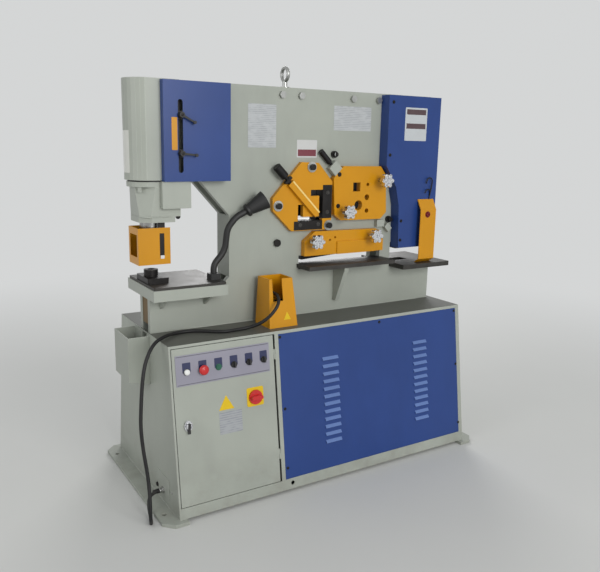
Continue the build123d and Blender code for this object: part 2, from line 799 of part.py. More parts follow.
# Stripper guard: folded sheet box round the punch, open at the top and towards the arm
guard_left = punch_x - 77
guard_right = punch_x + 72
guard_slot = 22
guard_front = hanger_front - guard_sheet
guard_back = 2 * frame_mid - guard_front
with BuildPart() as stripper_guard:
    with BuildSketch(at_z(guard_bottom)):
        pane(guard_left, guard_right, guard_front, guard_back)
    extrude(amount=guard_top - guard_bottom)
    with BuildSketch(at_z(guard_bottom + guard_sheet)):
        pane(guard_left + guard_sheet, guard_right, guard_front + guard_sheet, guard_back - guard_sheet)
    extrude(amount=guard_top - guard_bottom, mode=Mode.SUBTRACT)
    with BuildSketch(at_z(guard_bottom)):
        disc(punch_x, frame_mid, 2 * punch_nose)
    extrude(amount=guard_sheet, mode=Mode.SUBTRACT)
    with BuildSketch(at_y(guard_front + guard_sheet)):
        with Locations((punch_x + 33, (guard_top + guard_bottom) / 2)):
            Rectangle(guard_slot, guard_height - 50)
    extrude(amount=guard_sheet, mode=Mode.SUBTRACT)
    with BuildSketch(at_x(guard_left)):
        pane(guard_front + 18, guard_back - 18, guard_bottom + 35, guard_top - 30)
    extrude(amount=guard_sheet, mode=Mode.SUBTRACT)
stripper_guard.part.label = "stripper_guard"
export_step(stripper_guard.part, "parts/stripper_guard.step")

# Punch table on the jaw: a bracket hollowed from below on both sides of the frame, two ribs, and the plate
table_left = -865
table_right = throat_back - throat_chamfer
table_front = -205
table_back = 150
table_ribs = (-792, -576)
rib = 12
apron = 12
bracket_top = 20
plate_inset = 5
slug_hole = 44
bracket_level = jaw_top + bracket_height
with BuildPart() as punch_table:
    with BuildSketch(at_z(jaw_top)):
        pane(table_left, table_right, table_front, table_back)
    extrude(amount=bracket_height)
    with BuildSketch(at_z(jaw_top)):
        pane(table_left + apron, table_right - apron, table_front + apron, frame_front)
        pane(table_left + apron, table_right - apron, frame_back, table_back - apron)
    extrude(amount=bracket_height - bracket_top, mode=Mode.SUBTRACT)
    with BuildSketch(at_z(bracket_level)) as table_top:
        pane(table_left + plate_inset, table_right - plate_inset, table_front + plate_inset, table_back - plate_inset)
        fillet(table_top.vertices(), 8)
    extrude(amount=table_plate)
    for place in table_ribs:
        with BuildSketch(at_x(place - rib / 2)):
            Polygon((frame_front, bracket_level - bracket_top), (frame_front, jaw_top - 60), (frame_front - 90, jaw_top),
                    (frame_front - 90, bracket_level - bracket_top))
        extrude(amount=rib)
    with BuildSketch(at_z(jaw_top)):
        disc(punch_x, frame_mid, slug_hole)
    extrude(amount=bracket_height + table_plate, mode=Mode.SUBTRACT)
punch_table.part.label = "punch_table"
export_step(punch_table.part, "parts/punch_table.step")

# Die holder and the die in its seat
with BuildPart() as punch_die_set:
    with BuildSketch(at_z(table_level)) as holder:
        pane(table_left + 10, punch_x + 57, frame_mid - 80, frame_mid + 80)
        fillet(holder.vertices(), 8)
        disc(punch_x, frame_mid, die, mode=Mode.SUBTRACT)
    extrude(amount=die_holder)
    with BuildSketch(at_z(table_level)):
        disc(punch_x, frame_mid, die)
        disc(punch_x, frame_mid, punch_nose + 1, mode=Mode.SUBTRACT)
    extrude(amount=die_holder + die_height)
punch_die_set.part.label = "punch_die_set"
export_step(punch_die_set.part, "parts/punch_die_set.step")

# The opening that an angle bar goes through: two legs and a relief slot at each tip
leg_corner_x = 61
leg_corner_z = 1262
leg_gap = 21
vertical_leg_top = 1416
level_leg_end = -84
relief = 30


def angle_opening(mode):
    """The L shaped opening, drawn in the open sketch."""
    pane(leg_corner_x - leg_gap, leg_corner_x, leg_corner_z, vertical_leg_top, mode=mode)
    pane(level_leg_end, leg_corner_x, leg_corner_z, leg_corner_z + leg_gap, mode=mode)
    pane(leg_corner_x - 71, leg_corner_x - leg_gap + 1, vertical_leg_top - relief, vertical_leg_top, mode=mode)
    pane(level_leg_end, level_leg_end + relief, leg_corner_z, leg_corner_z + 82, mode=mode)


def bar_holes(mode):
    """One square and four round holes of the bar shear, drawn in the open sketch."""
    with Locations((bar_left + 31, bar_high - 34)):
        Rectangle(square_hole, square_hole, mode=mode)
    for x, z, size in ((102, 22, 18), (99, 88, 30), (45, 128, 50), (100, 158, 24)):
        disc(bar_left + x, bar_high - z, size, mode=mode)


# Blades fixed in the front plate: two for angle, one perforated for bar, one for flat bar and sheet
blade_proud = 2
vertical_blade_low = leg_corner_z + 10
with BuildPart() as fixed_blades:
    with BuildSketch(at_y(gap_front)):
        pane(leg_corner_x, angle_right, vertical_blade_low, angle_high)
        pane(angle_left, leg_corner_x, angle_low, leg_corner_z)
    extrude(amount=plate_thickness + angle_plate + blade_proud)
    with BuildSketch(at_y(gap_front)):
        pane(bar_left, bar_right, bar_low, bar_high)
        bar_holes(Mode.SUBTRACT)
        pane(mouth_left, mouth_right, mouth_low - blade_height, mouth_low)
    extrude(amount=plate_thickness)
fixed_blades.part.label = "fixed_blades"
export_step(fixed_blades.part, "parts/fixed_blades.step")

# Angle shear plate, with the nut block that carries the hold-down screw
guide_x = -59
guide_z = 1374
bar_half = 112
guide_width = 36
guide_thick = 22
screw_y = angle_front - guide_thick / 2 - body_gap
down_right = Vector(1, 0, -1).normalized()


def guide_plane(along):
    """A plane across the hold-down's axis, facing down towards the bend of the angle opening."""
    centre = Vector(guide_x, screw_y, guide_z) + down_right * along
    return Plane(origin=centre, x_dir=(0, 1, 0), z_dir=down_right)


screw = 18
nut_block = 12
with BuildPart() as angle_shear_plate:
    with BuildSketch(at_y(frame_front)):
        Polygon((angle_left + 40, angle_high + 113), (angle_left + 139, angle_high + 109), (angle_right + 2, angle_high + 16),
                (angle_right + 2, vertical_blade_low), (angle_right - 17, angle_low - 3), (angle_left - 14, angle_low - 3),
                (angle_left - 120, angle_low + 101), (angle_left - 123, angle_low + 161))
        pane(leg_corner_x, angle_right, vertical_blade_low, angle_high, mode=Mode.SUBTRACT)
        pane(angle_left, leg_corner_x, angle_low, leg_corner_z, mode=Mode.SUBTRACT)
        angle_opening(Mode.SUBTRACT)
    extrude(amount=angle_plate)
    with BuildSketch(guide_plane(-bar_half - 24)):
        with Locations((body_gap / 2, 0)):
            Rectangle(guide_thick + body_gap, 44)
        Circle(screw / 2 + running_fit, mode=Mode.SUBTRACT)
    extrude(amount=nut_block)
angle_shear_plate.part.label = "angle_shear_plate"
export_step(angle_shear_plate.part, "parts/angle_shear_plate.step")

# Hold-down of the angle station: bar, screw and knurled knob on one axis
knob = 42
knob_length = 72
knob_gap = 40
knob_start = -bar_half - knob_gap - knob_length
with BuildPart() as angle_hold_down:
    with BuildSketch(guide_plane(-bar_half)):
        Rectangle(guide_thick, guide_width)
    extrude(amount=2 * bar_half)
    with BuildSketch(guide_plane(knob_start + knob_length)):
        Circle(screw / 2)
    extrude(amount=knob_gap)
    with BuildSketch(guide_plane(knob_start)):
        Circle(knob / 2)
    extrude(amount=knob_length)
    chamfer(angle_hold_down.edges().filter_by(GeomType.CIRCLE).filter_by(lambda e: e.radius == knob / 2), 3)
angle_hold_down.part.label = "angle_hold_down"
export_step(angle_hold_down.part, "parts/angle_hold_down.step")

# Bar shear plate in front of the perforated blade
bar_front = frame_front - bar_plate
with BuildPart() as bar_shear_plate:
    with BuildSketch(at_y(frame_front)):
        Polygon((bar_left - 55, bar_high + 72), (bar_right + 33, bar_high + 71), (bar_right + 69, bar_high + 26),
                (bar_right + 81, bar_low + 10), (bar_right + 42, bar_low - 25), (bar_left - 64, bar_low - 22),
                (bar_left - 104, bar_low + 8), (bar_left - 114, bar_high + 13))
        bar_holes(Mode.SUBTRACT)
    extrude(amount=bar_plate)
bar_shear_plate.part.label = "bar_shear_plate"
export_step(bar_shear_plate.part, "parts/bar_shear_plate.step")

# Pale blocks round the bar station: the upper one carries a hold-down screw
block_size = 54
block_centre = Vector(bar_left - 84.5, 0, bar_high + 42.5) - down_right * (block_size / 2)


def block_plane(along):
    """A plane across the bar station's screw, facing down to the right."""
    middle = Vector(block_centre.X, frame_front - bar_plate / 2, block_centre.Z)
    return Plane(origin=middle + down_right * along, x_dir=(0, 1, 0), z_dir=down_right)


bar_screw = 16
with BuildPart() as screw_blocks:
    with BuildSketch(block_plane(-block_size / 2)):
        Rectangle(bar_plate, block_size)
        Circle(bar_screw / 2 + running_fit, mode=Mode.SUBTRACT)
    extrude(amount=block_size)
    with BuildSketch(at_y(frame_front)):
        with Locations((493, 1205)):
            Rectangle(30, 40, rotation=45)
        pane(bar_right + 30, bar_right + 78, 1212, 1248)
    extrude(amount=bar_plate - 8)
screw_blocks.part.label = "screw_blocks"
export_step(screw_blocks.part, "parts/screw_blocks.step")

with BuildPart() as bar_hold_down:
    with BuildSketch(block_plane(-block_size / 2 - 14)):
        Circle(bar_screw / 2)
    extrude(amount=block_size)
    with BuildSketch(block_plane(-block_size / 2 - 14 - 78)):
        Circle(14)
    extrude(amount=78)
bar_hold_down.part.label = "bar_hold_down"
export_step(bar_hold_down.part, "parts/bar_hold_down.step")

# Plate clamp over the flat bar mouth
with BuildPart() as plate_clamp:
    with BuildSketch(at_y(frame_front)):
        Polygon((mouth_left + 75, 1208), (mouth_right - 55, 1204), (mouth_right - 6, 1145), (mouth_right - 6, mouth_high),
                (mouth_left + 15, mouth_high), (mouth_left + 15, 1160))
    extrude(amount=bar_plate)
    with BuildSketch(at_y(bar_front)):
        pane(150, 396, mouth_high, 1150)
    extrude(amount=7)
    with BuildSketch(at_y(bar_front)):
        disc(108, 1160, 12)
        disc(140, 1172, 12)
    extrude(amount=-20, mode=Mode.SUBTRACT)
plate_clamp.part.label = "plate_clamp"
export_step(plate_clamp.part, "parts/plate_clamp.step")

# Star knobs on their studs: hub, and a head of six lobes
knob_places = ((412, 1460), (180, 1306), (-8, 1164), (358, 1174))
lobe = 20
star_head = 26
for number, (x, z) in enumerate(knob_places, start=1):
    with BuildPart() as star:
        with BuildSketch(at_y(bar_front - body_gap)):
            disc(x, z, 20)
        extrude(amount=bar_front - body_gap - star_front - star_head)
        with BuildSketch(at_y(star_front + star_head)):
            disc(x, z, star_knob - lobe)
            with Locations((x, z)):
                with PolarLocations((star_knob - lobe) / 2, 6):
                    Circle(lobe / 2)
        extrude(amount=star_head)
    star.part.label = f"star_knob_{number}"
    export_step(star.part, f"parts/star_knob_{number}.step")

# Table in front of the flat bar mouth, with a gusset down the frame plate
shear_table_left = -70
shear_table_right = 470
shear_plate = 20
gusset_left = 156
gusset_low = 838
gusset_nose = 28
with BuildPart() as shear_table:
    with BuildSketch(at_z(mouth_low - shear_plate)):
        pane(shear_table_left, shear_table_right, -215, frame_front)
    extrude(amount=shear_plate)
    with BuildSketch(at_x(gusset_left)):
        Polygon((frame_front, mouth_low - shear_plate), (-195, mouth_low - shear_plate), (-195, mouth_low - shear_plate - 15),
                (frame_front - gusset_nose, gusset_low), (frame_front, gusset_low))
    extrude(amount=25)
shear_table.part.label = "shear_table"
export_step(shear_table.part, "parts/shear_table.step")

# Rocking beam between the plates, with a window behind each blade
rake_left = 1056
rake_right = 1090
moving_height = 60
insert_left = -100
insert_right = 86
insert_low = 1240
insert_high = 1432
with BuildPart() as shear_beam:
    with BuildSketch(at_y(beam_back)):
        Polygon((-260, 1090), (mouth_left, 1090), (mouth_left + 40, rake_left + moving_height),
                (mouth_right - 20, rake_right + moving_height), (560, 1200), (722, 1200), (722, beam_pad),
                (560, beam_pad), (420, 1500), (120, 1500), (-130, 1470), (-260, 1230))
        disc(pivot_x, pivot_z, pivot_pin + 2 * running_fit, mode=Mode.SUBTRACT)
        pane(insert_left, insert_right, insert_low, insert_high, mode=Mode.SUBTRACT)
        pane(bar_left, bar_right, bar_low, bar_high, mode=Mode.SUBTRACT)
    extrude(amount=beam_thickness)
shear_beam.part.label = "shear_beam"
export_step(shear_beam.part, "parts/shear_beam.step")

# Blades that ride in the beam, and the notching punch below its nose
blade_back = beam_front + blade_thickness
notch_tip = 1075
with BuildPart() as moving_blades:
    with BuildSketch(at_y(beam_back)):
        pane(insert_left, insert_right, insert_low, insert_high)
        angle_opening(Mode.SUBTRACT)
    extrude(amount=beam_thickness)
    with BuildSketch(at_y(blade_back)):
        pane(bar_left, bar_right, bar_low, bar_high)
        bar_holes(Mode.SUBTRACT)
        Polygon((mouth_left + 40, rake_left), (mouth_right - 20, rake_right),
                (mouth_right - 20, rake_right + moving_height), (mouth_left + 40, rake_left + moving_height))
    extrude(amount=blade_thickness)
    with BuildSketch(at_y(beam_back)):
        pane(600, 600 + notch_width, notch_tip, 1200)
    extrude(amount=beam_thickness)
moving_blades.part.label = "moving_blades"
export_step(moving_blades.part, "parts/moving_blades.step")

# Shear cylinder, whose flange rests in the plates' windows
with BuildPart() as shear_cylinder:
    with BuildSketch(at_z(shear_flange_z)):
        with Locations((shear_x, frame_mid)):
            Rectangle(shear_barrel, shear_barrel)
    extrude(amount=shear_flange)
    with BuildSketch(at_z(shear_flange_z + shear_flange)):
        disc(shear_x, frame_mid, shear_barrel)
    extrude(amount=shear_top - shear_flange_z - shear_flange)
    with BuildSketch(at_z(shear_flange_z)):
        disc(shear_x, frame_mid, shear_rod + 2 * running_fit)
    extrude(amount=70, mode=Mode.SUBTRACT)
    with BuildSketch(at_z(shear_flange_z + 70)):
        disc(shear_x, frame_mid, shear_bore + 2 * running_fit)
    extrude(amount=360, mode=Mode.SUBTRACT)
shear_cylinder.part.label = "shear_cylinder"
export_step(shear_cylinder.part, "parts/shear_cylinder.step")

# Piston rod with a domed end that presses on the beam's pad
dome = 60
dome_rise = dome - sqrt(dome**2 - (shear_rod / 2) ** 2)
rod_tip = beam_pad + rod_gap
piston_base = 1700
with BuildPart() as cylinder_rod:
    with BuildSketch(at_y(frame_mid)):
        with BuildLine():
            RadiusArc((shear_x, rod_tip), (shear_x + shear_rod / 2, rod_tip + dome_rise), -dome)
            Polyline((shear_x + shear_rod / 2, rod_tip + dome_rise), (shear_x + shear_rod / 2, piston_base),
                     (shear_x + shear_bore / 2, piston_base), (shear_x + shear_bore / 2, piston_base + 45),
                     (shear_x, piston_base + 45), (shear_x, rod_tip))
        make_face()
    revolve(axis=Axis((shear_x, frame_mid, 0), (0, 0, 1)))
cylinder_rod.part.label = "cylinder_rod"
export_step(cylinder_rod.part, "parts/cylinder_rod.step")

# End cover over the shear cylinder, open below, slotted for the plates
end_right = 785
end_top = frame_height - 7
end_low = 1095
end_back = 2 * frame_mid - cover_front


def end_outline(low):
    """The end cover seen from the front, down to a height."""
    Polygon((430, end_top), (430, end_top - 358), (500, end_top - 468), (525, end_top - 568), (535, low),
            (end_right, low), (end_right, end_top))


with BuildPart() as end_cover:
    with BuildSketch(at_y(end_back)):
        end_outline(end_low)
    extrude(amount=end_back - cover_front)
    with BuildSketch(at_y(end_back - cover_sheet)):
        end_outline(end_low - 10)
        offset(amount=-cover_sheet, mode=Mode.REPLACE)
    extrude(amount=end_back - cover_front - 2 * cover_sheet, mode=Mode.SUBTRACT)
    with BuildSketch(at_y(frame_back)):
        pane(400, frame_right, end_low, end_top)
    extrude(amount=frame_back - frame_front, mode=Mode.SUBTRACT)
end_cover.part.label = "end_cover"
export_step(end_cover.part, "parts/end_cover.step")

# Notcher table with the die opening, and the bent guard in front of the punch
notcher_plate = 25
notch_left = 600
with BuildPart() as notcher_table:
    with BuildSketch(at_z(notch_floor)):
        pane(notch_back, 860, -215, 160)
        pane(notch_left - notch_clear - 8, notch_left + notch_width + notch_clear,
             beam_front - 3, beam_back + 3, mode=Mode.SUBTRACT)
    extrude(amount=notcher_plate)
notcher_table.part.label = "notcher_table"
export_step(notcher_table.part, "parts/notcher_table.step")

guard_level = notch_floor + notcher_plate
with BuildPart() as notcher_guard:
    with BuildSketch(at_x(655)):
        Polygon((cover_front, 1355), (cover_front - 4, 1355), (-190, 1300), (-190, guard_level + 20), (-160, guard_level),
                (-156, guard_level), (-186, guard_level + 22), (-186, 1299), (cover_front, 1349))
    extrude(amount=110)
notcher_guard.part.label = "notcher_guard"
export_step(notcher_guard.part, "parts/notcher_guard.step")

# Work lamp on the punch table: base block, gooseneck and a flared shade with a collar
lamp_neck = 30
lamp_x = -540
lamp_y = -115
lamp_base_side = 50
lamp_base_height = 28
lamp_foot = table_level + lamp_base_height
neck_points = [
    (lamp_x, lamp_y, lamp_foot), (lamp_x, lamp_y, lamp_foot + 40), (lamp_x + 57, lamp_y - 1, lamp_foot + 102),
    (lamp_x + 65, lamp_y - 13, lamp_foot + 208), (lamp_x + 106, lamp_y - 22, lamp_foot + 261),
    (lamp_x + 161, lamp_y - 26, lamp_foot + 288),
]
neck_radii = [60, 100, 90, 90]
shade_start = Vector(*neck_points[-1])
shade_dir = Vector(85, -19, 51).normalized()
shade_length = 101
shade_mouth = 90
shade_sheet = 2
shade_plane = Plane(origin=shade_start, x_dir=shade_dir, z_dir=shade_dir.cross(Vector(0, 1, 0)))
with BuildPart() as work_lamp:
    with BuildSketch(at_z(table_level)):
        with Locations((lamp_x, lamp_y)):
            RectangleRounded(lamp_base_side, lamp_base_side, 6)
    extrude(amount=lamp_base_height)
    with BuildLine() as neck_line:
        FilletPolyline(*neck_points, radius=neck_radii)
    with BuildSketch(Plane(origin=neck_points[0], z_dir=neck_line.line % 0)):
        Circle(lamp_neck / 2)
    sweep()
    with BuildSketch(shade_plane):
        Polygon((-6, 0), (-6, 24), (0, 31), (10, 31), (13, 27), (shade_length, shade_mouth / 2),
                (shade_length, shade_mouth / 2 - shade_sheet), (20, 26), (20, 0))
    revolve(axis=Axis(shade_start, shade_dir))
work_lamp.part.label = "work_lamp"
export_step(work_lamp.part, "parts/work_lamp.step")

# Foot pedal parked on the ledge, standing on its end: tapered hood with a mouth in its front wall
pedal_top = ledge_height + pedal_height
mouth_sill = ledge_height + 125
pedal_mouth_left = -297
pedal_mouth_right = -243
treadle_pin = 8
treadle_y = -172
treadle_z = ledge_height + 28
cord_entry = Vector(-268, pedal_back - pedal_wall - 8, mouth_sill + 32)


def pedal_section(wall, taper, lean):
    """The pedal's hood in plan."""
    pane(pedal_left + wall + taper, pedal_right - wall - taper, pedal_front + wall + lean, pedal_back - wall)


with BuildPart() as pedal_housing:
    with BuildSketch(at_z(ledge_height)):
        pedal_section(0, 0, 0)
    with BuildSketch(at_z(pedal_top)):
        pedal_section(0, pedal_taper, pedal_lean)
    loft(ruled=True)
    with BuildSketch(at_z(ledge_height + pedal_wall)):
        pedal_section(pedal_wall, pedal_taper * pedal_wall / pedal_height, pedal_lean * pedal_wall / pedal_height)
    with BuildSketch(at_z(pedal_top)):
        pedal_section(pedal_wall, pedal_taper, pedal_lean)
    loft(ruled=True, mode=Mode.SUBTRACT)
    with BuildSketch(at_y(pedal_back - pedal_wall - 1)):
        pane(pedal_mouth_left, pedal_mouth_right, mouth_sill, pedal_top)
    extrude(amount=pedal_back - pedal_front, mode=Mode.SUBTRACT)
    with BuildSketch(at_x(pedal_left + 2)):
        disc(treadle_y, treadle_z, treadle_pin)
    extrude(amount=pedal_right - pedal_left - 4)
    with BuildSketch(at_y(pedal_back - pedal_wall)):
        disc(cord_entry.X, cord_entry.Z, cord + 8)
    extrude(amount=8)
pedal_housing.part.label = "pedal_housing"
export_step(pedal_housing.part, "parts/pedal_housing.step")

treadle_left = pedal_left + pedal_wall + pedal_taper
treadle_right = pedal_right - pedal_wall - pedal_taper
with BuildPart() as pedal_treadle:
    with BuildSketch(at_x(treadle_left)):
        disc(treadle_y, treadle_z, treadle_pin + 8)
        pane(treadle_y - 4, treadle_y + 4, treadle_z, ledge_height + 112)
        disc(treadle_y, treadle_z, treadle_pin + 2 * running_fit, mode=Mode.SUBTRACT)
    extrude(amount=treadle_right - treadle_left)
pedal_treadle.part.label = "pedal_treadle"
export_step(pedal_treadle.part, "parts/pedal_treadle.step")

# Pedal cord: out of the hood, along the ledge, over its end, down to the floor and into the gland
cord_exit = Vector(-half_length - entry_plate_thickness - gland_length, gland_y, gland_z)
cord_points = [
    (cord_entry.X, cord_entry.Y, cord_entry.Z), (-268, -205, 937), (-283, -284, 925), (-345, -284, 852),
    (-392, -228, 798), (-452, -226, 788), (-512, -246, 788), (-572, -226, 788), (-622, -184, 788), (-682, -152, 788),
    (-758, -160, 788), (-824, -212, 797), (-898, -268, 788), (-946, -298, 716), (-966, -316, 632), (-978, -330, 545),
    (-989, -344, 450), (-982, -356, 340), (-970, -370, 235), (-970, -390, 135), (-984, -410, 70), (-986, -414, 11),
    (-958, -368, 11), (-948, -334, 26), (-936, -294, 54), (-928, -250, 73),
    (cord_exit.X - 28, cord_exit.Y, cord_exit.Z), (cord_exit.X, cord_exit.Y, cord_exit.Z),
]
cord_route = [Vector(*point) for point in cord_points]


def corner_radius(before, corner, after):
    """The largest arc that the two runs at a corner leave room for."""
    run_in = corner - before
    run_out = after - corner
    turn = radians(run_in.get_angle(run_out))
    return 0.45 * min(run_in.length, run_out.length) / tan(turn / 2)


cord_radii = [corner_radius(*cord_route[i:i + 3]) for i in range(len(cord_route) - 2)]
with BuildPart() as pedal_cord:
    with BuildLine() as cord_line:
        FilletPolyline(*cord_route, radius=cord_radii)
    with BuildSketch(Plane(origin=cord_route[0], z_dir=cord_line.line % 0)):
        Circle(cord / 2)
    sweep()
pedal_cord.part.label = "pedal_cord"
export_step(pedal_cord.part, "parts/pedal_cord.step")
cord_length = sum(edge.length for edge in cord_line.edges())
cord_section = pi * (cord / 2) ** 2
print("cord radii", [round(radius) for radius in cord_radii])
print("cord length", round(cord_length), "volume share", round(pedal_cord.part.volume / (cord_section * cord_length), 4))

# Control door: folded rim, lift-off knuckles and the holes for the controls
control_points = [(first_control + control_pitch * i, control_row) for i in range(6)]
control_places = [(u, -drop) for u, drop in control_points]
with BuildPart() as control_door:
    with BuildSketch(front_face.offset(-door_sheet)):
        pane(door_left, door_right, -door_top - door_height, -door_top)
    extrude(amount=door_sheet)
    with BuildSketch(front_face.offset(-door_rim)):
        pane(door_left, door_right, -door_top - door_height, -door_top)
        pane(door_left + 2, door_right - 2, -door_top - door_height + 2, -door_top - 2, mode=Mode.SUBTRACT)
    extrude(amount=door_rim - door_sheet)
    for drop in hinge_drops:
        with BuildSketch(hinge_plane(drop - knuckle_length - body_gap)):
            Circle(knuckle / 2)
            pane(-hinge_inset, 0, -door_sheet / 2, door_sheet / 2)
            Circle(hinge_pin / 2 + running_fit, mode=Mode.SUBTRACT)
        extrude(amount=knuckle_length)
    with BuildSketch(front_face):
        for place in control_places:
            disc(*place, control_hole)
        disc(main_switch_u, -main_switch_drop, 12)
        disc(lock_u, -lock_drop, control_hole)
    extrude(amount=-door_sheet, mode=Mode.SUBTRACT)
control_door.part.label = "control_door"
export_step(control_door.part, "parts/control_door.step")

# Control strip with a bezel ring round each control
strip_left = first_control - 50
strip_front = front_face.offset(strip_thickness)
with BuildPart() as control_strip:
    with BuildSketch(front_face):
        pane(strip_left, strip_left + strip_width, -45 - strip_height, -45)
        for place in control_places:
            disc(*place, control_hole, mode=Mode.SUBTRACT)
    extrude(amount=strip_thickness)
    with BuildSketch(strip_front):
        for place in control_places:
            disc(*place, bezel)
            disc(*place, control_hole, mode=Mode.SUBTRACT)
    extrude(amount=bezel_height)
control_strip.part.label = "control_strip"
export_step(control_strip.part, "parts/control_strip.step")

# Round controls: each has a stem through strip and door, and a head of its own
stem = control_hole - 2 * running_fit
stem_depth = 32
bezel_face = strip_thickness + bezel_height


def control_axis(number):
    """Axis out of the door through one control."""
    return Axis(face_point(*control_points[number]), front_face.z_dir)


heads = {
    "indicator_lamp": (0, [(13, bezel_face), (13, bezel_face + 6), (9, bezel_face + 11), (0, bezel_face + 12)]),
    "stop_button": (1, [(22, bezel_face + 9), (22, bezel_face + 15), (16, bezel_face + 21), (0, bezel_face + 23)]),
    "start_button": (2, [(stem / 2, bezel_face + 4), (0, bezel_face + 4)]),
}
for name, (number, profile) in heads.items():
    u, drop = control_points[number]
    section = Plane(origin=face_point(u, drop), x_dir=(1, 0, 0), z_dir=front_face.y_dir * -1)
    with BuildPart() as control:
        with BuildSketch(section):
            Polygon((0, -stem_depth), (stem / 2, -stem_depth), (stem / 2, profile[0][1]), *profile)
        revolve(axis=control_axis(number))
    control.part.label = name
    export_step(control.part, f"parts/{name}.step")

# Three selector switches: stem, collar and a raised grip
for number, name in enumerate(("selector_one", "selector_two", "selector_three"), start=3):
    u, drop = control_points[number]
    with BuildPart() as selector:
        with BuildSketch(face_plane(u, drop, -stem_depth)):
            Circle(stem / 2)
        extrude(amount=stem_depth + bezel_face + body_gap)
        with BuildSketch(face_plane(u, drop, bezel_face + body_gap)):
            Circle(13)
        extrude(amount=5)
        with BuildSketch(face_plane(u, drop, bezel_face + body_gap + 5)):
            Rectangle(8, 25)
        extrude(amount=11)
    selector.part.label = name
    export_step(selector.part, f"parts/{name}.step")

# Main switch: round knob with a raised grip, on a shaft through the door
with BuildPart() as main_switch:
    with BuildSketch(face_plane(main_switch_u, main_switch_drop, -stem_depth)):
        Circle(6 - running_fit)
    extrude(amount=stem_depth + strip_thickness + body_gap)
    with BuildSketch(face_plane(main_switch_u, main_switch_drop, strip_thickness + body_gap)):
        Circle(main_switch_knob_size / 2)
    extrude(amount=9, taper=6)
    with BuildSketch(face_plane(main_switch_u, main_switch_drop, strip_thickness + body_gap + 9)):
        SlotOverall(main_switch_knob_size - 10, 18)
    extrude(amount=18)
main_switch.part.label = "main_switch"
export_step(main_switch.part, "parts/main_switch.step")

# Door lock: oval rose, barrel, wing grip below it and the cam behind the rim
cam_reach = 59
with BuildPart() as door_lock:
    with BuildSketch(face_plane(lock_u, lock_drop, -door_rim - 1)):
        Circle(stem / 2)
    extrude(amount=door_rim + 1 + body_gap)
    with BuildSketch(face_plane(lock_u, lock_drop, body_gap)):
        Ellipse(19, 24)
    extrude(amount=9)
    with BuildSketch(face_plane(lock_u, lock_drop, body_gap + 9)):
        Circle(13)
        pane(-6, 6, -34, 0)
    extrude(amount=7)
    with BuildSketch(face_plane(lock_u, lock_drop, -door_rim - 5)):
        Circle(12)
        pane(-9, 9, -cam_reach, 0)
    extrude(amount=4)
door_lock.part.label = "door_lock"
export_step(door_lock.part, "parts/door_lock.step")
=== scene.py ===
# %% [markdown]
# # A hydraulic ironworker, dressed around its CAD model
#
# An ironworker punches, shears, crops and notches steel. Two thick frame plates stand on a welded cabinet,
# a hydraulic cylinder drives the punch at the left end, and a second one rocks a beam between the plates
# that carries all the other blades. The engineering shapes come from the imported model. This lesson adds the
# camera, the pedal's cord, the finishes and the small hardware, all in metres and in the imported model's own
# frame.

import math

import bmesh
import bpy
from mathutils import Matrix, Vector


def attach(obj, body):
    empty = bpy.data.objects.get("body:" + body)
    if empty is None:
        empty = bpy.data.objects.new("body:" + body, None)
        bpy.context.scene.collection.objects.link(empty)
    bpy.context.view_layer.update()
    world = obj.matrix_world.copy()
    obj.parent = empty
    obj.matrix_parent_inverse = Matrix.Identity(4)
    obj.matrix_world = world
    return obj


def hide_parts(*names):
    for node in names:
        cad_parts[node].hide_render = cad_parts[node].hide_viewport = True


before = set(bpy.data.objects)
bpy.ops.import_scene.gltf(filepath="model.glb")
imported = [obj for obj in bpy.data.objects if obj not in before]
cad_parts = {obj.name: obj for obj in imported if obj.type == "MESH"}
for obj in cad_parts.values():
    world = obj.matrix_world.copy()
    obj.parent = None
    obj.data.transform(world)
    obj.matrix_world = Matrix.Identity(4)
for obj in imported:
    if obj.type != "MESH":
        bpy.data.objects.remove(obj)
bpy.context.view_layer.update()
scene = bpy.context.scene

# %% [markdown]
# ## The camera
#
# The machine is seen from its left front, at about eye height. The camera's place, its three angles and its
# focal length were worked out from the machine's own straight edges, so that the model's edges fall on the
# picture's. They are therefore plain numbers: a place in metres, angles in degrees and a focal length in
# picture points. The camera was not held quite level, so a small roll is part of it.

# %% Camera
image_width = 600
eye = Vector((-1.8394, -2.9472, 1.6454))
heading, downward, roll = (math.radians(angle) for angle in (31.699, 12.039, 1.121))
focal_pixels = 673.42
sideways_pixels = 4.816
forward = Vector((math.sin(heading) * math.cos(downward), math.cos(heading) * math.cos(downward),
                  -math.sin(downward)))
level = Vector((math.cos(heading), -math.sin(heading), 0))
upright = level.cross(forward)
camera_right = math.cos(roll) * level + math.sin(roll) * upright
camera_up = -math.sin(roll) * level + math.cos(roll) * upright

lens = bpy.data.cameras.new("camera")
lens.sensor_width = 36
lens.lens = focal_pixels * lens.sensor_width / image_width
lens.shift_x = sideways_pixels / image_width
lens.clip_start, lens.clip_end = 0.05, 60
camera = bpy.data.objects.new("camera", lens)
turn = Matrix((camera_right, camera_up, -forward)).transposed()
camera.matrix_world = Matrix.Translation(eye) @ turn.to_4x4()
scene.collection.objects.link(camera)
scene.camera = camera
print("lens:", round(lens.lens, 2), "mm")

# %% [markdown]
# ## Maths on sockets
#
# A finish is a small graph of nodes. Written out node by node it is long and hard to read, so one class
# wraps a socket and lets Python's own operators add the Math nodes: `1 - mask * 0.4` becomes two of them. A
# finish itself is a second class. It owns the shader, and its method `node` makes any other node: first its
# settings, then the values or links of its sockets.

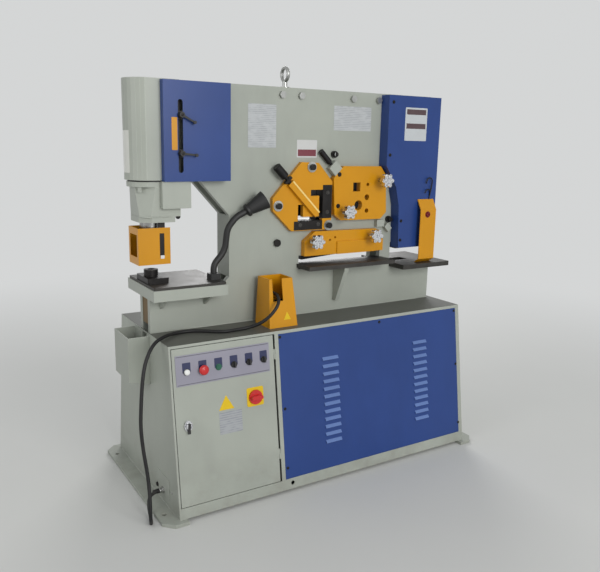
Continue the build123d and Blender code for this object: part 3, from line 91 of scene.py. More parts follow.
# %% Signal and Finish
class Signal:
    """An output socket. An expression on it adds Math nodes."""

    def __init__(self, finish, socket):
        self.finish = finish
        self.socket = socket

    def maths(self, operation, *terms, limit=False):
        """One Math node on these terms, each a signal or a number."""
        settings = {"operation": operation, "use_clamp": limit}
        return self.finish.node("Math", settings, dict(enumerate(terms)))

    def __add__(self, other):
        return self.maths("ADD", self, other)

    def __radd__(self, other):
        return self.maths("ADD", other, self)

    def __sub__(self, other):
        return self.maths("SUBTRACT", self, other)

    def __rsub__(self, other):
        return self.maths("SUBTRACT", other, self)

    def __mul__(self, other):
        return self.maths("MULTIPLY", self, other)

    def __rmul__(self, other):
        return self.maths("MULTIPLY", other, self)

    def __truediv__(self, other):
        return self.maths("DIVIDE", self, other)

    def __gt__(self, other):
        return self.maths("GREATER_THAN", self, other)

    def limited(self):
        """The same value, kept between 0 and 1."""
        return self.maths("MULTIPLY", self, 1.0, limit=True)


class Finish:
    """A material with one Principled shader and the nodes that feed it."""

    def __init__(self, name, **fixed):
        self.material = bpy.data.materials.new(name)
        self.material.use_nodes = True
        self.tree = self.material.node_tree
        self.shader = self.tree.nodes["Principled BSDF"]
        for socket, value in fixed.items():
            self.shader.inputs[socket.replace("_", " ")].default_value = value
        self.place = self.node("TexCoord", output="Object")

    def node(self, kind, settings=None, sockets=None, output=0):
        """Adds a node: its settings, then the values or links of its sockets. Stops fill a colour ramp."""
        made = self.tree.nodes.new("ShaderNode" + kind)
        for name, value in (settings or {}).items():
            if name == "stops":
                ramp = made.color_ramp.elements
                while len(ramp) < len(value):
                    ramp.new(0.5)
                for stop, (position, grey) in zip(ramp, value):
                    stop.position, stop.color = position, (grey, grey, grey, 1)
            else:
                setattr(made, name, value)
        for name, value in (sockets or {}).items():
            if isinstance(value, Signal):
                self.tree.links.new(value.socket, made.inputs[name])
            else:
                made.inputs[name].default_value = value
        return Signal(self, made.outputs[output])

    def feed(self, **varying):
        """Links what varies over the surface to the shader."""
        for socket, signal in varying.items():
            self.tree.links.new(signal.socket, self.shader.inputs[socket.replace("_", " ")])
        return self

    def noise(self, per_metre, detail=2.0, roughness=0.5, stretch=None):
        """Noise of that many blobs to the metre, stretched along an axis if asked."""
        place = self.place
        if stretch:
            place = self.node("Mapping", {}, {"Vector": place, "Scale": stretch})
        sockets = {"Vector": place, "Scale": per_metre, "Detail": detail, "Roughness": roughness}
        return self.node("TexNoise", {}, sockets)

    def mixed(self, amount, one, other):
        """A colour between two."""
        sockets = {0: amount, 6: one, 7: other}
        return self.node("Mix", {"data_type": "RGBA"}, sockets, output=2)

    def along(self):
        """How far along the machine a point is, in metres."""
        return self.node("SeparateXYZ", {}, {0: self.place}, output=0)

    def height(self):
        """How high above the floor a point is, in metres."""
        return self.node("SeparateXYZ", {}, {0: self.place}, output=2)

    def ramp(self, signal, *stops):
        """A value remapped along a grey ramp."""
        return self.node("ValToRGB", {"stops": stops}, {0: signal})


def shade(red, green, blue):
    """A colour as a paint card gives it, 0 to 255, in Blender's linear terms."""
    def linear(value):
        value /= 255
        return value / 12.92 if value <= 0.04045 else ((value + 0.055) / 1.055) ** 2.4
    return (linear(red), linear(green), linear(blue), 1.0)


print("shader helpers ready")

# %% [markdown]
# ## Rounded edges without more faces
#
# The imported solids have sharp edges, and real sheet and plate never do. A Bevel node bends the normal near
# an edge as a small radius would, so that edges catch the light. Its difference from the plain normal also
# tells where the edges are. The finishes paint edges lighter there, partly as thinner paint and partly as a
# painted highlight.

# %% Edge helpers
def soft_edges(finish, radius, gain=6):
    """The normal with rounded edges, and a mask of where they are. A high gain also finds shallow folds."""
    rounded = finish.node("Bevel", {"samples": 4}, {"Radius": radius})
    plain = finish.node("NewGeometry", output="Normal")
    along = finish.node("VectorMath", {"operation": "DOT_PRODUCT"}, {0: rounded, 1: plain}, output="Value")
    return rounded, ((1 - along) * gain).limited()


def bumped(finish, height, depth, normal=None):
    """A normal that follows a height map, in metres."""
    sockets = {"Height": height, "Strength": 1.0, "Distance": depth}
    if normal:
        sockets["Normal"] = normal
    return finish.node("Bump", {}, sockets)


print("edge helpers ready")

# %% [markdown]
# ## Machine enamel
#
# The cabinet, the frame and the covers are sprayed with a two-pack machine enamel. Four things make it read
# as paint and not as plastic: the fine orange peel, a slow drift of the film's thickness over a large
# panel, edges where the film has drawn thin, and faint oily wipe marks that run downwards. The paler edges
# are also a painted highlight. The foot gathers workshop dust. The same function makes every colour, because
# one spray gun did. What differs is how glossy, how dusty and how oily each surface is. The folded casing
# asks for a higher gain, so that its shallow folds show as pale lines, a painted highlight along each fold.

# %% Enamel
def enamel(name, colour, roughness=0.42, peel=0.00005, radius=0.0018, dusty=0.0, oily=0.22, gain=6):
    """Sprayed paint: peel is the height of the orange peel and radius that of the edges, in metres."""
    finish = Finish(name, Coat_Weight=0.08, Coat_Roughness=0.25, Specular_IOR_Level=0.34)
    rounded, edges = soft_edges(finish, radius, gain)
    drift = finish.noise(2.6, 3.0)
    speckle = finish.noise(60, 2.0)
    worn_edge_and_highlight = tuple(min(1.0, c * 1.45 + 0.02) for c in colour[:3]) + (1.0,)
    deep = tuple(c * 0.9 for c in colour[:3]) + (1.0,)
    soiled = tuple(c * 0.62 for c in colour[:3]) + (1.0,)
    base = finish.mixed(finish.ramp(drift, (0.36, 0.0), (0.66, 1.0)), deep, colour)
    wiped = finish.ramp(finish.noise(6, 5.0, 0.62, stretch=(1, 1, 0.3)), (0.5, 0.0), (0.8, 1.0))
    base = finish.mixed((wiped * oily).limited(), base, soiled)
    # Edges are mixed to a paler colour: thinner paint and a painted highlight.
    base = finish.mixed((edges * (0.35 + speckle * 0.6)).limited(), base, worn_edge_and_highlight)
    if dusty:
        low = finish.ramp(finish.height(), (0.0, 1.0), (0.3, 0.0))
        patch = finish.ramp(finish.noise(7, 5.0, 0.65), (0.42, 0.0), (0.7, 1.0))
        base = finish.mixed((low * patch * dusty).limited(), base, shade(104, 97, 84))
    orange_peel = finish.noise(330, 1.5)
    normal = bumped(finish, orange_peel, peel, rounded)
    rough = roughness - 0.05 + drift * 0.08 + speckle * 0.04 - wiped * 0.06
    return finish.feed(Base_Color=base, Roughness=rough, Normal=normal)


body_enamel = enamel("grey_green_enamel", shade(163, 167, 157), dusty=0.35)
sheet_enamel = enamel("grey_green_sheet", shade(167, 171, 161), roughness=0.4)
# The casing's high gain paints its folds as pale lines, a painted highlight.
casing_fold_highlight_enamel = enamel("folded_casing_fold_highlight_enamel", shade(167, 171, 161), radius=0.003, oily=0.12, gain=110)
# The ledge's top is painted dark grey, a painted shade, with heavy oily wipe marks.
ledge_painted_shade_enamel = enamel("painted_shade_ledge", shade(92, 93, 86), roughness=0.5, oily=0.5)
blue_enamel = enamel("blue_enamel", shade(36, 64, 126), roughness=0.36, oily=0.3)
# A paler blue for the louvre hoods' upward faces, a painted highlight.
louvre_highlight_enamel = enamel("painted_highlight_louvre_enamel", shade(96, 122, 176), roughness=0.4, oily=0.1)
amber_enamel = enamel("amber_enamel", shade(206, 142, 6), roughness=0.34, oily=0.15)
# A pale amber for a painted highlight on the hold-down bar.
highlight_amber = enamel("painted_highlight_amber_enamel", shade(236, 206, 128), roughness=0.28, oily=0.05)
# A dark amber for the jaw strip, a painted shade.
painted_shade_amber = enamel("painted_shade_amber_enamel", shade(104, 80, 36), roughness=0.5, radius=0.003, oily=0.5)
strip_lacquer = enamel("control_strip_lacquer", shade(148, 146, 158), roughness=0.3, peel=0.00001,
                       radius=0.0006)
lemon_enamel = enamel("lemon_enamel", shade(222, 186, 22), roughness=0.34, oily=0.08)
dull_red = enamel("dull_red_enamel", shade(112, 22, 26), roughness=0.4)
print("enamels:", 12)

# %% [markdown]
# ## Steels
#
# Tool steel, blades and screws are black from an oxide bath, with brown-grey rub marks. The tables are
# hot-rolled plate wiped with oil. The cylinders are ground and the ram is turned, which leaves fine lines
# in one direction. Bolts that need no hard edge are zinc plated. The tool lines are noise that has been
# stretched many times over along one axis, and they feed roughness and bump, not colour.

# %% Steels
def steel(name, colour, roughness, lines=0.0, rub=0.0, along=(1, 1, 1), spread=0.12, metal=1.0):
    """Steel with tool lines along an axis, rubbed edges and a cloudy surface."""
    finish = Finish(name, Metallic=metal)
    rounded, edges = soft_edges(finish, 0.0008)
    cloud = finish.noise(14, 4.0, 0.6)
    grain = finish.noise(900, 2.0, 0.5, stretch=along) if lines else finish.noise(500, 3.0)
    bright = tuple(min(1.0, c * 1.9 + 0.05) for c in colour[:3]) + (1.0,)
    dark = tuple(c * 0.72 for c in colour[:3]) + (1.0,)
    base = finish.mixed(finish.ramp(cloud, (0.35, 0.0), (0.7, 1.0)), dark, colour)
    base = finish.mixed((edges * rub).limited(), base, bright)
    rough = roughness + (cloud - 0.5) * spread + (grain - 0.5) * (0.1 + lines)
    normal = bumped(finish, grain, 0.00002 + 0.00006 * lines, rounded)
    return finish.feed(Base_Color=base, Roughness=rough, Normal=normal)


black_oxide = steel("black_oxide", shade(44, 42, 41), 0.42, rub=0.6, metal=0.7)
rolled_plate = steel("oiled_rolled_plate", shade(74, 72, 69), 0.48, rub=0.7, spread=0.22, metal=0.7)
ground_steel = steel("ground_steel", shade(190, 190, 188), 0.3, lines=0.15, rub=0.3, along=(0.02, 1, 1))
turned_steel = steel("turned_steel", shade(182, 182, 180), 0.26, lines=0.12, rub=0.3, along=(1, 1, 0.03))
zinc = steel("zinc_plate", shade(186, 187, 184), 0.34, rub=0.3)
print("steels:", 5)

# %% [markdown]
# ## Chrome on a rough casting
#
# The star knobs are cast, barely smoothed and then plated. The chrome mirrors the room, and the casting's
# dimples break the picture up. The colour adds painted reflections: dark bluish patches in the dimples' low
# places, and a painted white highlight along the edges.

# %% Chrome
def plated_casting(name):
    """Chrome over dimples, with painted dark reflections in their low places and a painted highlight on
    edges.
    """
    finish = Finish(name, Metallic=1.0)
    rounded, edges = soft_edges(finish, 0.0015)
    dimples = finish.noise(120, 2.0, 0.55)
    painted_dark_reflection = finish.ramp(dimples, (0.34, 1.0), (0.52, 0.0))
    # Painted dark reflections in the dimples' low places, then a painted white highlight on the edges.
    base = finish.mixed((painted_dark_reflection * 0.8).limited(), shade(232, 233, 236), shade(74, 76, 84))
    base = finish.mixed((edges * 0.7).limited(), base, shade(250, 250, 250))
    normal = bumped(finish, dimples, 0.0016, rounded)
    return finish.feed(Base_Color=base, Roughness=0.12 + painted_dark_reflection * 0.25, Normal=normal)


chrome = plated_casting("chrome_plate")
print("chrome ready")

# %% [markdown]
# ## A knurled grip
#
# The hold-down screws have round grips that are knurled, so that an oily hand can turn them. Rolling tools
# press a field of small pyramids into the steel. A cell pattern used as a height gives the same broken
# highlight.

# %% Knurl
def knurled(name, colour, pitch):
    """Steel with a field of small pyramids, a pitch apart in metres, their tops rubbed bright."""
    finish = Finish(name, Metallic=0.7)
    rounded, edges = soft_edges(finish, 0.0008)
    cells = finish.node("TexVoronoi", {}, {"Vector": finish.place, "Scale": 1 / pitch, "Randomness": 0.15})
    tops = tuple(min(1.0, c * 2.4 + 0.03) for c in colour[:3]) + (1.0,)
    worn = finish.ramp(cells, (0.0, 1.0), (0.3, 0.0))
    base = finish.mixed((worn * 0.5 + edges * 0.4).limited(), colour, tops)
    normal = bumped(finish, 1 - cells, 0.0006, rounded)
    return finish.feed(Base_Color=base, Roughness=0.36 + cells * 0.2, Normal=normal)


knurled_black = knurled("knurled_black", shade(36, 35, 35), 0.0024)
print("knurls:", 1)

# %% [markdown]
# ## Plastics
#
# Pushbuttons and lenses are moulded and smooth, with a clear top coat that gives them a second, sharper
# shine. The lamp, the selectors and the gooseneck are matt black, with a fine grain and no coat.

# %% Plastics
def moulded(name, colour, roughness=0.28, grain=0.00001, coat=0.3):
    """Moulded plastic, with a grain of that height in metres and a clear coat."""
    finish = Finish(name, Coat_Weight=coat, Coat_Roughness=0.12)
    rounded, edges = soft_edges(finish, 0.0006)
    cloud = finish.noise(25, 3.0)
    fine = finish.noise(1400, 2.0)
    worn_edge_and_highlight = tuple(min(1.0, c * 1.5 + 0.01) for c in colour[:3]) + (1.0,)
    # Edges are mixed paler as a painted highlight, and the cloud varies the tone.
    base = finish.mixed((edges * 0.4 + cloud * 0.15).limited(), colour, worn_edge_and_highlight)
    rough = roughness + (fine - 0.5) * 0.1 + cloud * 0.06
    return finish.feed(Base_Color=base, Roughness=rough, Normal=bumped(finish, fine, grain, rounded))


matt_black = moulded("matt_black", shade(26, 26, 26), 0.5, grain=0.00004, coat=0.0)
gloss_black = moulded("gloss_black", shade(20, 20, 21), 0.3)
white_lens = moulded("white_lens", shade(226, 226, 222), 0.2)
signal_red = moulded("signal_red", shade(186, 22, 24), 0.25)
signal_green = moulded("signal_green", shade(16, 84, 62), 0.25)
legend_blue = moulded("legend_blue", shade(24, 32, 74), 0.32)
line_grey = moulded("line_grey", shade(84, 84, 94), 0.4)
print("plastics:", 7)

# %% [markdown]
# ## The cord's rubber
#
# The cord's sheath is a dull synthetic rubber. It has picked up grey dust where it lies on the floor, so
# the dust is thickest at the floor and thins out over the first twelve centimetres.

# %% Rubber
def rubber(name):
    """Dull black rubber with floor dust low down."""
    finish = Finish(name, Specular_IOR_Level=0.35)
    fine = finish.noise(700, 3.0)
    dust = finish.ramp(finish.noise(9, 4.0, 0.6), (0.4, 0.0), (0.75, 1.0))
    low = finish.ramp(finish.height(), (0.0, 1.0), (0.12, 0.15))
    base = finish.mixed((dust * low * 0.5).limited(), shade(26, 26, 27), shade(104, 100, 94))
    return finish.feed(Base_Color=base, Roughness=0.48 + dust * 0.2, Normal=bumped(finish, fine, 0.00005))


sheath = rubber("cord_sheath")
print("rubber ready")

# %% [markdown]
# ## Places on the machine
#
# The front wall of the cabinet leans back. A point on it is given as a distance along the machine, a drop
# down the slope and a height off the sheet, as on the drawing of the cabinet. All the other faces at the
# front stand upright, so a point on one is simply x, y and z. Each of those faces has its own distance from
# the middle of the machine, in millimetres, and gets a name here because labels, screws and hooks are all
# seated on them.

# %% Faces at the front
ledge_height = 0.780
ledge_depth = 0.642
foot_depth = 0.851
foot_height = 0.016
ledge_front = -ledge_depth / 2
slope = Vector((0, -1, (foot_depth - ledge_depth) / 2 / (ledge_height - foot_height))).normalized()
up_slope = slope.cross(Vector((1, 0, 0)))
frame_face = -92
cover_edge_face = -94
blade_face = -119
casing_face = -124.1
station_face = -125
cover_face = -157
lever_face = -181.6
slot_line = -710


def on_front(along, drop, proud=0.0):
    """A point on the sloped front wall, in millimetres along and down."""
    origin = Vector((along / 1000, ledge_front, ledge_height))
    return origin - up_slope * (drop / 1000) + slope * (proud / 1000)


def off_front(point):
    """How far a point stands off the sloped front wall."""
    return (point - Vector((0, ledge_front, ledge_height))).dot(slope)


print("lean of the front wall:", round(math.degrees(math.asin(slope.z)), 2), "degrees")

# %% [markdown]
# ## The finish of each CAD node
#
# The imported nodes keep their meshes, and each one gets the finish that the real piece has. Some pieces are
# two finishes in one: a painted bracket under a bare plate, a painted bar on a black screw. There, a test
# on the middle of each face and its normal picks the second finish, which costs no extra mesh.

# %% Dressing
def dress(names, finish, *parts):
    """Gives nodes a finish, and another one to the faces that pass a test of their middle and normal."""
    for name in names.split():
        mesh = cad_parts[name].data
        mesh.materials.clear()
        for one in (finish, *(other for other, _ in parts)):
            mesh.materials.append(one.material)
        for face in mesh.polygons:
            face.material_index = 0
            for place, (_, inside) in enumerate(parts, 1):
                if inside(face.center, face.normal):
                    face.material_index = place
        dressed.add(name)


dressed = set()
hold_down_centre = Vector((-0.059, -0.128, 1.374))
hold_down_axis = Vector((1, 0, -1)).normalized()
hold_down_half = 0.1125
grip_start = 0.15
bezel_face = 0.0022


def along_hold_down(point):
    """How far a point lies along the angle hold-down, from the bar's middle."""
    return (point - hold_down_centre).dot(hold_down_axis)


print("dressing ready")

# %% [markdown]
# ## What is painted
#
# Frame, cabinet and covers are grey-green, the louvred panel and the two large covers are blue, and
# whatever holds work down or guards a hand is amber. The ledge's top is painted dark as a painted shade,
# with oily wipe marks. Whatever stands off the strip or the panel by more than a sheet's thickness is a
# bezel or a louvre's hood, and the hoods' upward faces get a paler blue, a painted highlight.

# %% Painted nodes
bushing_top = 1.2875
ledge_low = 0.7
inside_cover = -0.1568
slot_half = 0.0115
start_button_x, start_button_half = -0.622, 0.017
boss_face, boss_start = -0.118, 0.12
dress("front_frame_plate rear_frame_plate frame_spacers control_door rear_cover slug_bin", body_enamel)
# The ledge's top faces get the dark grey, a painted shade.
dress("cabinet", body_enamel, (ledge_painted_shade_enamel, lambda p, n: p.z > ledge_low and n.z > 0.9))
# The casing's pale fold lines are a painted highlight.
dress("cylinder_casing", casing_fold_highlight_enamel)
dress("switch_box", sheet_enamel)
# The head's parts below the bushing's top are black oxide, and there they also stand in for the shade seen
# through the guard's slot, a painted shade.
dress("punch_head", sheet_enamel, (black_oxide, lambda p, n: p.z < bushing_top))
dress("end_cover", blue_enamel)
# Faces of the louvre hoods that look upwards get the paler blue, a painted highlight.
dress("louvred_panel", blue_enamel, (louvre_highlight_enamel, lambda p, n: off_front(p) > bezel_face and n.z > 0.25))
# The slot's walls inside the cover are black, a painted shade.
dress("punch_cover", blue_enamel,
      (matt_black, lambda p, n: p.y > inside_cover and abs(p.x - slot_line / 1000) < slot_half))
dress("stripper_guard bar_shear_plate plate_clamp notcher_guard pedal_housing", amber_enamel)
# The jaw strip is painted in the dark amber, a painted shade.
dress("jaw_strip", painted_shade_amber)
dress("control_strip", strip_lacquer,
      (gloss_black, lambda p, n: off_front(p) > bezel_face),
      (signal_green, lambda p, n: off_front(p) > bezel_face
       and abs(p.x - start_button_x) < start_button_half))
dress("angle_shear_plate", amber_enamel,
      (black_oxide, lambda p, n: p.y < boss_face and along_hold_down(p) < -boss_start))
# The hold-down bar's upper right faces get the pale amber, a painted highlight.
dress("angle_hold_down", amber_enamel,
      (highlight_amber, lambda p, n: n.x + n.z > 1.2 and abs(along_hold_down(p)) < hold_down_half),
      (knurled_black, lambda p, n: along_hold_down(p) < -grip_start),
      (black_oxide, lambda p, n: -grip_start < along_hold_down(p) < -hold_down_half))
print("painted:", len(dressed))

# %% [markdown]
# ## What is bare or plated
#
# Tools and blades are black from the oxide bath. The bolts at the stations and along the top of the frame
# are zinc plated, and the tables are plain rolled plate on painted brackets. The electrical parts stand in
# front of their zinc back plate: black relays above, grey blocks below.

# %% Bare and plated nodes
head_front, head_back = -0.1213, -0.1165
bar_station_x, station_top, top_row = 0.13, 1.6, 1.8
punch_plate_low, shear_plate_low = 1.0004, 1.0245
lock_x, key_half, key_face = -0.784, 0.0066, 0.0095
lens_face = 0.0065
relay_low, block_high = 0.5, 0.42
dress("fixed_blades moving_blades punch_die_set punch cylinder_rod", black_oxide)
dress("pedal_treadle upper_stop lower_stop", black_oxide)
dress("machine_bolts", black_oxide,
      (zinc, lambda p, n: head_front < p.y < head_back and p.x < bar_station_x and p.z < station_top),
      (zinc, lambda p, n: p.z > top_row))
dress("lifting_eye", zinc)
dress("bar_hold_down", knurled_black)
dress("punch_table", body_enamel, (rolled_plate, lambda p, n: p.z > punch_plate_low))
dress("shear_table", rolled_plate, (sheet_enamel, lambda p, n: p.z < shear_plate_low))
dress("notcher_table shear_beam", rolled_plate)
dress("punch_cylinder shear_cylinder", ground_steel)
dress("punch_ram cord_gland", turned_steel)
dress("star_knob_1 star_knob_2 star_knob_3 star_knob_4", chrome)
dress("door_lock", chrome,
      (matt_black, lambda p, n: off_front(p) > key_face and abs(p.x - lock_x) < key_half))
dress("screw_blocks power_unit", sheet_enamel)
plate_front = max(v.co.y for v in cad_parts["contactor_plate"].data.vertices) - 0.012
dress("contactor_plate", zinc,
      (matt_black, lambda p, n: p.y < plate_front and p.z > relay_low),
      (rolled_plate, lambda p, n: p.y < plate_front and p.z < block_high))
dress("work_lamp upper_lever lower_lever selector_one selector_two selector_three", matt_black)
dress("indicator_lamp", matt_black, (white_lens, lambda p, n: off_front(p) > lens_face))
dress("stop_button main_switch", signal_red)
dress("start_button", signal_green)
dress("pedal_cord", sheath)
print("dressed:", len(dressed), "left:", sorted(set(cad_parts) - dressed))

# %% [markdown]
# ## The pedal's cord
#
# The foot pedal stands on the ledge, as it was put there for transport, with its cord going up and over its
# hood. The cord is a 16 mm three-core rubber cable. It leaves the hood, lies along the ledge, hangs over
# the machine's left end down to the floor, and comes back up into the gland in the end wall. A NURBS curve
# follows the points of the engineering model's route, so that it stays in that tube's space. A cable this
# stiff bends no tighter than about four times its own thickness, and only the fold at the floor is tighter
# than that.

# %% Cord
cord_thickness = 0.016
cord_route = [
    (-0.268, -0.142, 0.937), (-0.268, -0.198, 0.937), (-0.270, -0.258, 0.932), (-0.296, -0.306, 0.902),
    (-0.340, -0.304, 0.850), (-0.376, -0.264, 0.808), (-0.422, -0.232, 0.788), (-0.480, -0.234, 0.788),
    (-0.534, -0.242, 0.788), (-0.584, -0.218, 0.788), (-0.630, -0.180, 0.788), (-0.686, -0.153, 0.788),
    (-0.758, -0.160, 0.788), (-0.824, -0.212, 0.797), (-0.898, -0.268, 0.786), (-0.946, -0.298, 0.716),
    (-0.966, -0.316, 0.632), (-0.978, -0.330, 0.545), (-0.988, -0.344, 0.450), (-0.982, -0.356, 0.340),
    (-0.971, -0.372, 0.235), (-0.972, -0.394, 0.148), (-0.978, -0.412, 0.066), (-0.966, -0.384, 0.008),
    (-0.950, -0.334, 0.009), (-0.943, -0.284, 0.044), (-0.919, -0.237, 0.073), (-0.875, -0.234, 0.075),
]
curve = bpy.data.curves.new("pedal_cable", "CURVE")
curve.dimensions = "3D"
spline = curve.splines.new("NURBS")
spline.points.add(len(cord_route) - 1)
for point, place in zip(spline.points, cord_route):
    point.co = (*place, 1)
spline.order_u = 3
spline.use_endpoint_u = True
spline.resolution_u = 12
curve.bevel_depth = cord_thickness / 2
curve.bevel_resolution = 6
curve.materials.append(sheath.material)
cable = bpy.data.objects.new("pedal_cable", curve)
scene.collection.objects.link(cable)
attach(cable, "machine")
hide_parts("pedal_cord")
print("cord points:", len(cord_route))

# %% [markdown]
# ## Building small pieces
#
# Every small piece below is a stack of rings with faces between them, which is how a lathe or a press would
# describe it. A ring is a circle, a regular polygon or the outline of a plate, at a height. A piece is
# built round its own axis and then seated: its axis goes along the normal of what carries it.

# %% Ring helpers
def ring(radius, height, sides=0, count=24):
    """Points round the axis: a circle, or a polygon whose corners lie on that radius."""
    points = []
    for i in range(count):
        angle = 2 * math.pi * i / count
        reach = radius
        if sides:
            wedge = math.pi / sides
            reach *= math.cos(wedge) / math.cos(angle % (2 * wedge) - wedge)
        points.append(Vector((reach * math.cos(angle), reach * math.sin(angle), height)))
    return points


def seat(origin, normal, x_axis=(1, 0, 0)):
    """A frame at a point of the machine, with z along the normal."""
    z = Vector(normal).normalized()
    y = z.cross(Vector(x_axis)).normalized()
    x = y.cross(z)
    return Matrix.Translation(Vector(origin)) @ Matrix((x, y, z)).transposed().to_4x4()


def facing_front(x, y, z):
    """A seat on an upright surface that faces the operator, in millimetres."""
    return seat((x / 1000, y / 1000, z / 1000), (0, -1, 0))


def stacked(name, rings, finish, places, body="machine", smooth=True):
    """One mesh with a stack of rings at each place."""
    shape = bmesh.new()
    for place in places:
        made = [[shape.verts.new(place @ p) for p in one] for one in rings]
        for low, high in zip(made, made[1:]):
            for i in range(len(low)):
                j = (i + 1) % len(low)
                shape.faces.new((low[i], low[j], high[j], high[i]))
        shape.faces.new(list(reversed(made[0])))
        shape.faces.new(made[-1])
    return piece(name, shape, finish, body, smooth)


def piece(name, shape, finish, body="machine", smooth=True):
    """Turns a mesh under construction into a piece that rides on a body."""
    bmesh.ops.recalc_face_normals(shape, faces=shape.faces)
    mesh = bpy.data.meshes.new(name)
    shape.to_mesh(mesh)
    shape.free()
    mesh.materials.append(finish.material)
    made = bpy.data.objects.new(name, mesh)
    scene.collection.objects.link(made)
    if smooth:
        mesh.shade_smooth()
        mesh.set_sharp_from_angle(angle=math.radians(35))
    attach(made, body)
    return made


print("ring helpers ready")

# %% [markdown]
# ## Plates
#
# Label plates, the yellow plate behind the main switch and the plates behind the pushbuttons are thin sheet
# with rounded corners and a soft edge. One function draws them all: an outline, a smaller outline on top
# for the worn-down edge, and a thickness.

# %% Plates
def rounded_outline(width, height, radius, steps=4):
    """A rectangle's outline with rounded corners, centred on the origin."""
    points = []
    for quarter, (sx, sy) in enumerate(((1, 1), (-1, 1), (-1, -1), (1, -1))):
        centre = Vector((sx * (width / 2 - radius), sy * (height / 2 - radius), 0))
        for step in range(steps + 1):
            angle = math.radians(90 * (quarter + step / steps))
            points.append(centre + Vector((radius * math.cos(angle), radius * math.sin(angle), 0)))
    return points


def sheet_plate(name, outline, thickness, finish, place, body="machine"):
    """A thin plate with a softened front edge."""
    soft = min(thickness * 0.35, 0.0004)
    middle = sum(outline, Vector()) / len(outline)

    def at(inset, height):
        """The outline at a height, drawn in a little."""
        return [p + (middle - p).normalized() * inset + Vector((0, 0, height)) for p in outline]

    rings = [at(0, 0), at(0, thickness - soft), at(soft, thickness)]
    return stacked(name, rings, finish, [place], body)


def printed(name, paper, ink, pattern):
    """A lacquered label: two colours, and a function that says where the ink is."""
    finish = Finish(name, Coat_Weight=0.5, Coat_Roughness=0.15)
    mask = pattern(finish)
    smudge = finish.noise(18, 4.0, 0.6)
    base = finish.mixed(mask, paper, ink)
    base = finish.mixed((smudge * 0.16).limited(), base, shade(120, 118, 108))
    return finish.feed(Base_Color=base, Roughness=0.3 + smudge * 0.15)


print("plate helpers ready")

# %% [markdown]
# ## Label faces
#
# The real labels carry tables and notices. Here they say nothing: they are bare, faintly ruled, or have one
# or two solid blocks where a heading would be. Each pattern is a sum on the place of a point, so no picture
# is needed.

# %% Label faces
def plain(finish):
    """No ink at all, apart from the lacquer's own unevenness."""
    return (finish.noise(40) * 0.05).limited()


def ruled(pitch, share):
    """Faint level rules, as on an empty table, that have worn through here and there."""
    def lines(finish):
        steps = finish.height() / pitch
        worn = finish.ramp(finish.noise(26, 2.0, stretch=(1, 1, 2)), (0.36, 0.0), (0.56, 1.0))
        return (steps.maths("FRACT", steps) > share) * worn * 0.4
    return lines


def blocks(left, right, *rows):
    """Solid blocks between two sides, one for each pair of heights."""
    def inked(finish):
        along, up = finish.along(), finish.height()
        within = (along > left) * (1 - (along > right))
        filled = 0.0
        for low, high in rows:
            filled = filled + (up > low) * (1 - (up > high))
        return within * filled
    return inked


bare_label = printed("bare_label", shade(214, 214, 206), shade(180, 180, 172), plain)
ruled_label = printed("ruled_label", shade(182, 185, 186), shade(112, 115, 124), ruled(0.0085, 0.5))
faint_label = printed("faint_label", shade(160, 163, 166), shade(104, 107, 120), ruled(0.0105, 0.5))
two_block_label = printed("two_block_label", shade(190, 194, 196), shade(66, 36, 44),
                          blocks(0.549, 0.681, (1.727, 1.754), (1.799, 1.826)))
one_block_label = printed("one_block_label", shade(200, 200, 198), shade(112, 22, 44),
                          blocks(-0.076, 0.029, (1.580, 1.612)))
print("label faces:", 5)

# %% [markdown]
# ## Where the labels sit
#
# Three labels are on the frame, one on the end cover and two on the door, with the yellow plate of the main
# switch. A narrow yellow scale runs beside the slot in the punch cover. The slot's darkness is a painted
# shade: the part of the casing that shows through it gets a black sheet, and the slot's walls are black.

# %% Label plates
for name, left, right, low, high, finish in (
        ("capacity_label", -351, -200, 1618, 1818, ruled_label),
        ("range_label", 132, 365, 1708, 1828, ruled_label),
        ("frame_sign", -82, 35, 1573, 1658, one_block_label)):
    outline = rounded_outline((right - left) / 1000, (high - low) / 1000, 0.003)
    place = facing_front((left + right) / 2, frame_face, (low + high) / 2)
    sheet_plate(name, outline, 0.0008, finish, place)
sheet_plate("cover_sign", rounded_outline(0.150, 0.170, 0.004), 0.0008, two_block_label,
            facing_front(615, cover_face, 1750))
sheet_plate("slot_scale", rounded_outline(0.026, 0.138, 0.002), 0.0008, amber_enamel,
            facing_front(-738, cover_face, 1672))
sheet_plate("door_label", rounded_outline(0.114, 0.101, 0.003), 0.0006, faint_label,
            seat(on_front(-576, 381), slope), "door")
triangle = [Vector((-0.038, -0.033, 0)), Vector((0.038, -0.033, 0)), Vector((0, 0.033, 0))]
sheet_plate("door_triangle", triangle, 0.0006, lemon_enamel, seat(on_front(-594, 288), slope), "door")
sheet_plate("switch_plate", rounded_outline(0.086, 0.088, 0.008), 0.002, lemon_enamel,
            seat(on_front(-447, 287), slope), "door")
# A black sheet on the casing behind the slot, a painted shade.
sheet_plate("slot_painted_shade", rounded_outline(0.042, 0.330, 0.004), 0.0008, matt_black,
            facing_front(-722, casing_face, 1661))
print("labels and lining: 9")

# %% [markdown]
# ## The control strip
#
# Each control on the strip has a square legend plate behind it that stands up above the bezel, here left
# blank. A thin dark line is printed along the strip's upper and lower edges.

# %% Legend plates
strip_thickness = 2
legend_drop = 102
first_control, control_pitch = -774, 76
for place in range(6):
    legend_place = on_front(first_control + control_pitch * place, legend_drop, strip_thickness)
    sheet_plate(f"legend_plate_{place + 1}", rounded_outline(0.038, 0.045, 0.003), 0.0009, legend_blue,
                seat(legend_place, slope), "door")
for name, drop in (("upper_strip_line", 51), ("lower_strip_line", 175)):
    sheet_plate(name, rounded_outline(0.452, 0.003, 0.001), 0.0003, line_grey,
                seat(on_front(-593, drop, strip_thickness), slope), "door")
print("legend plates: 6, lines: 2")

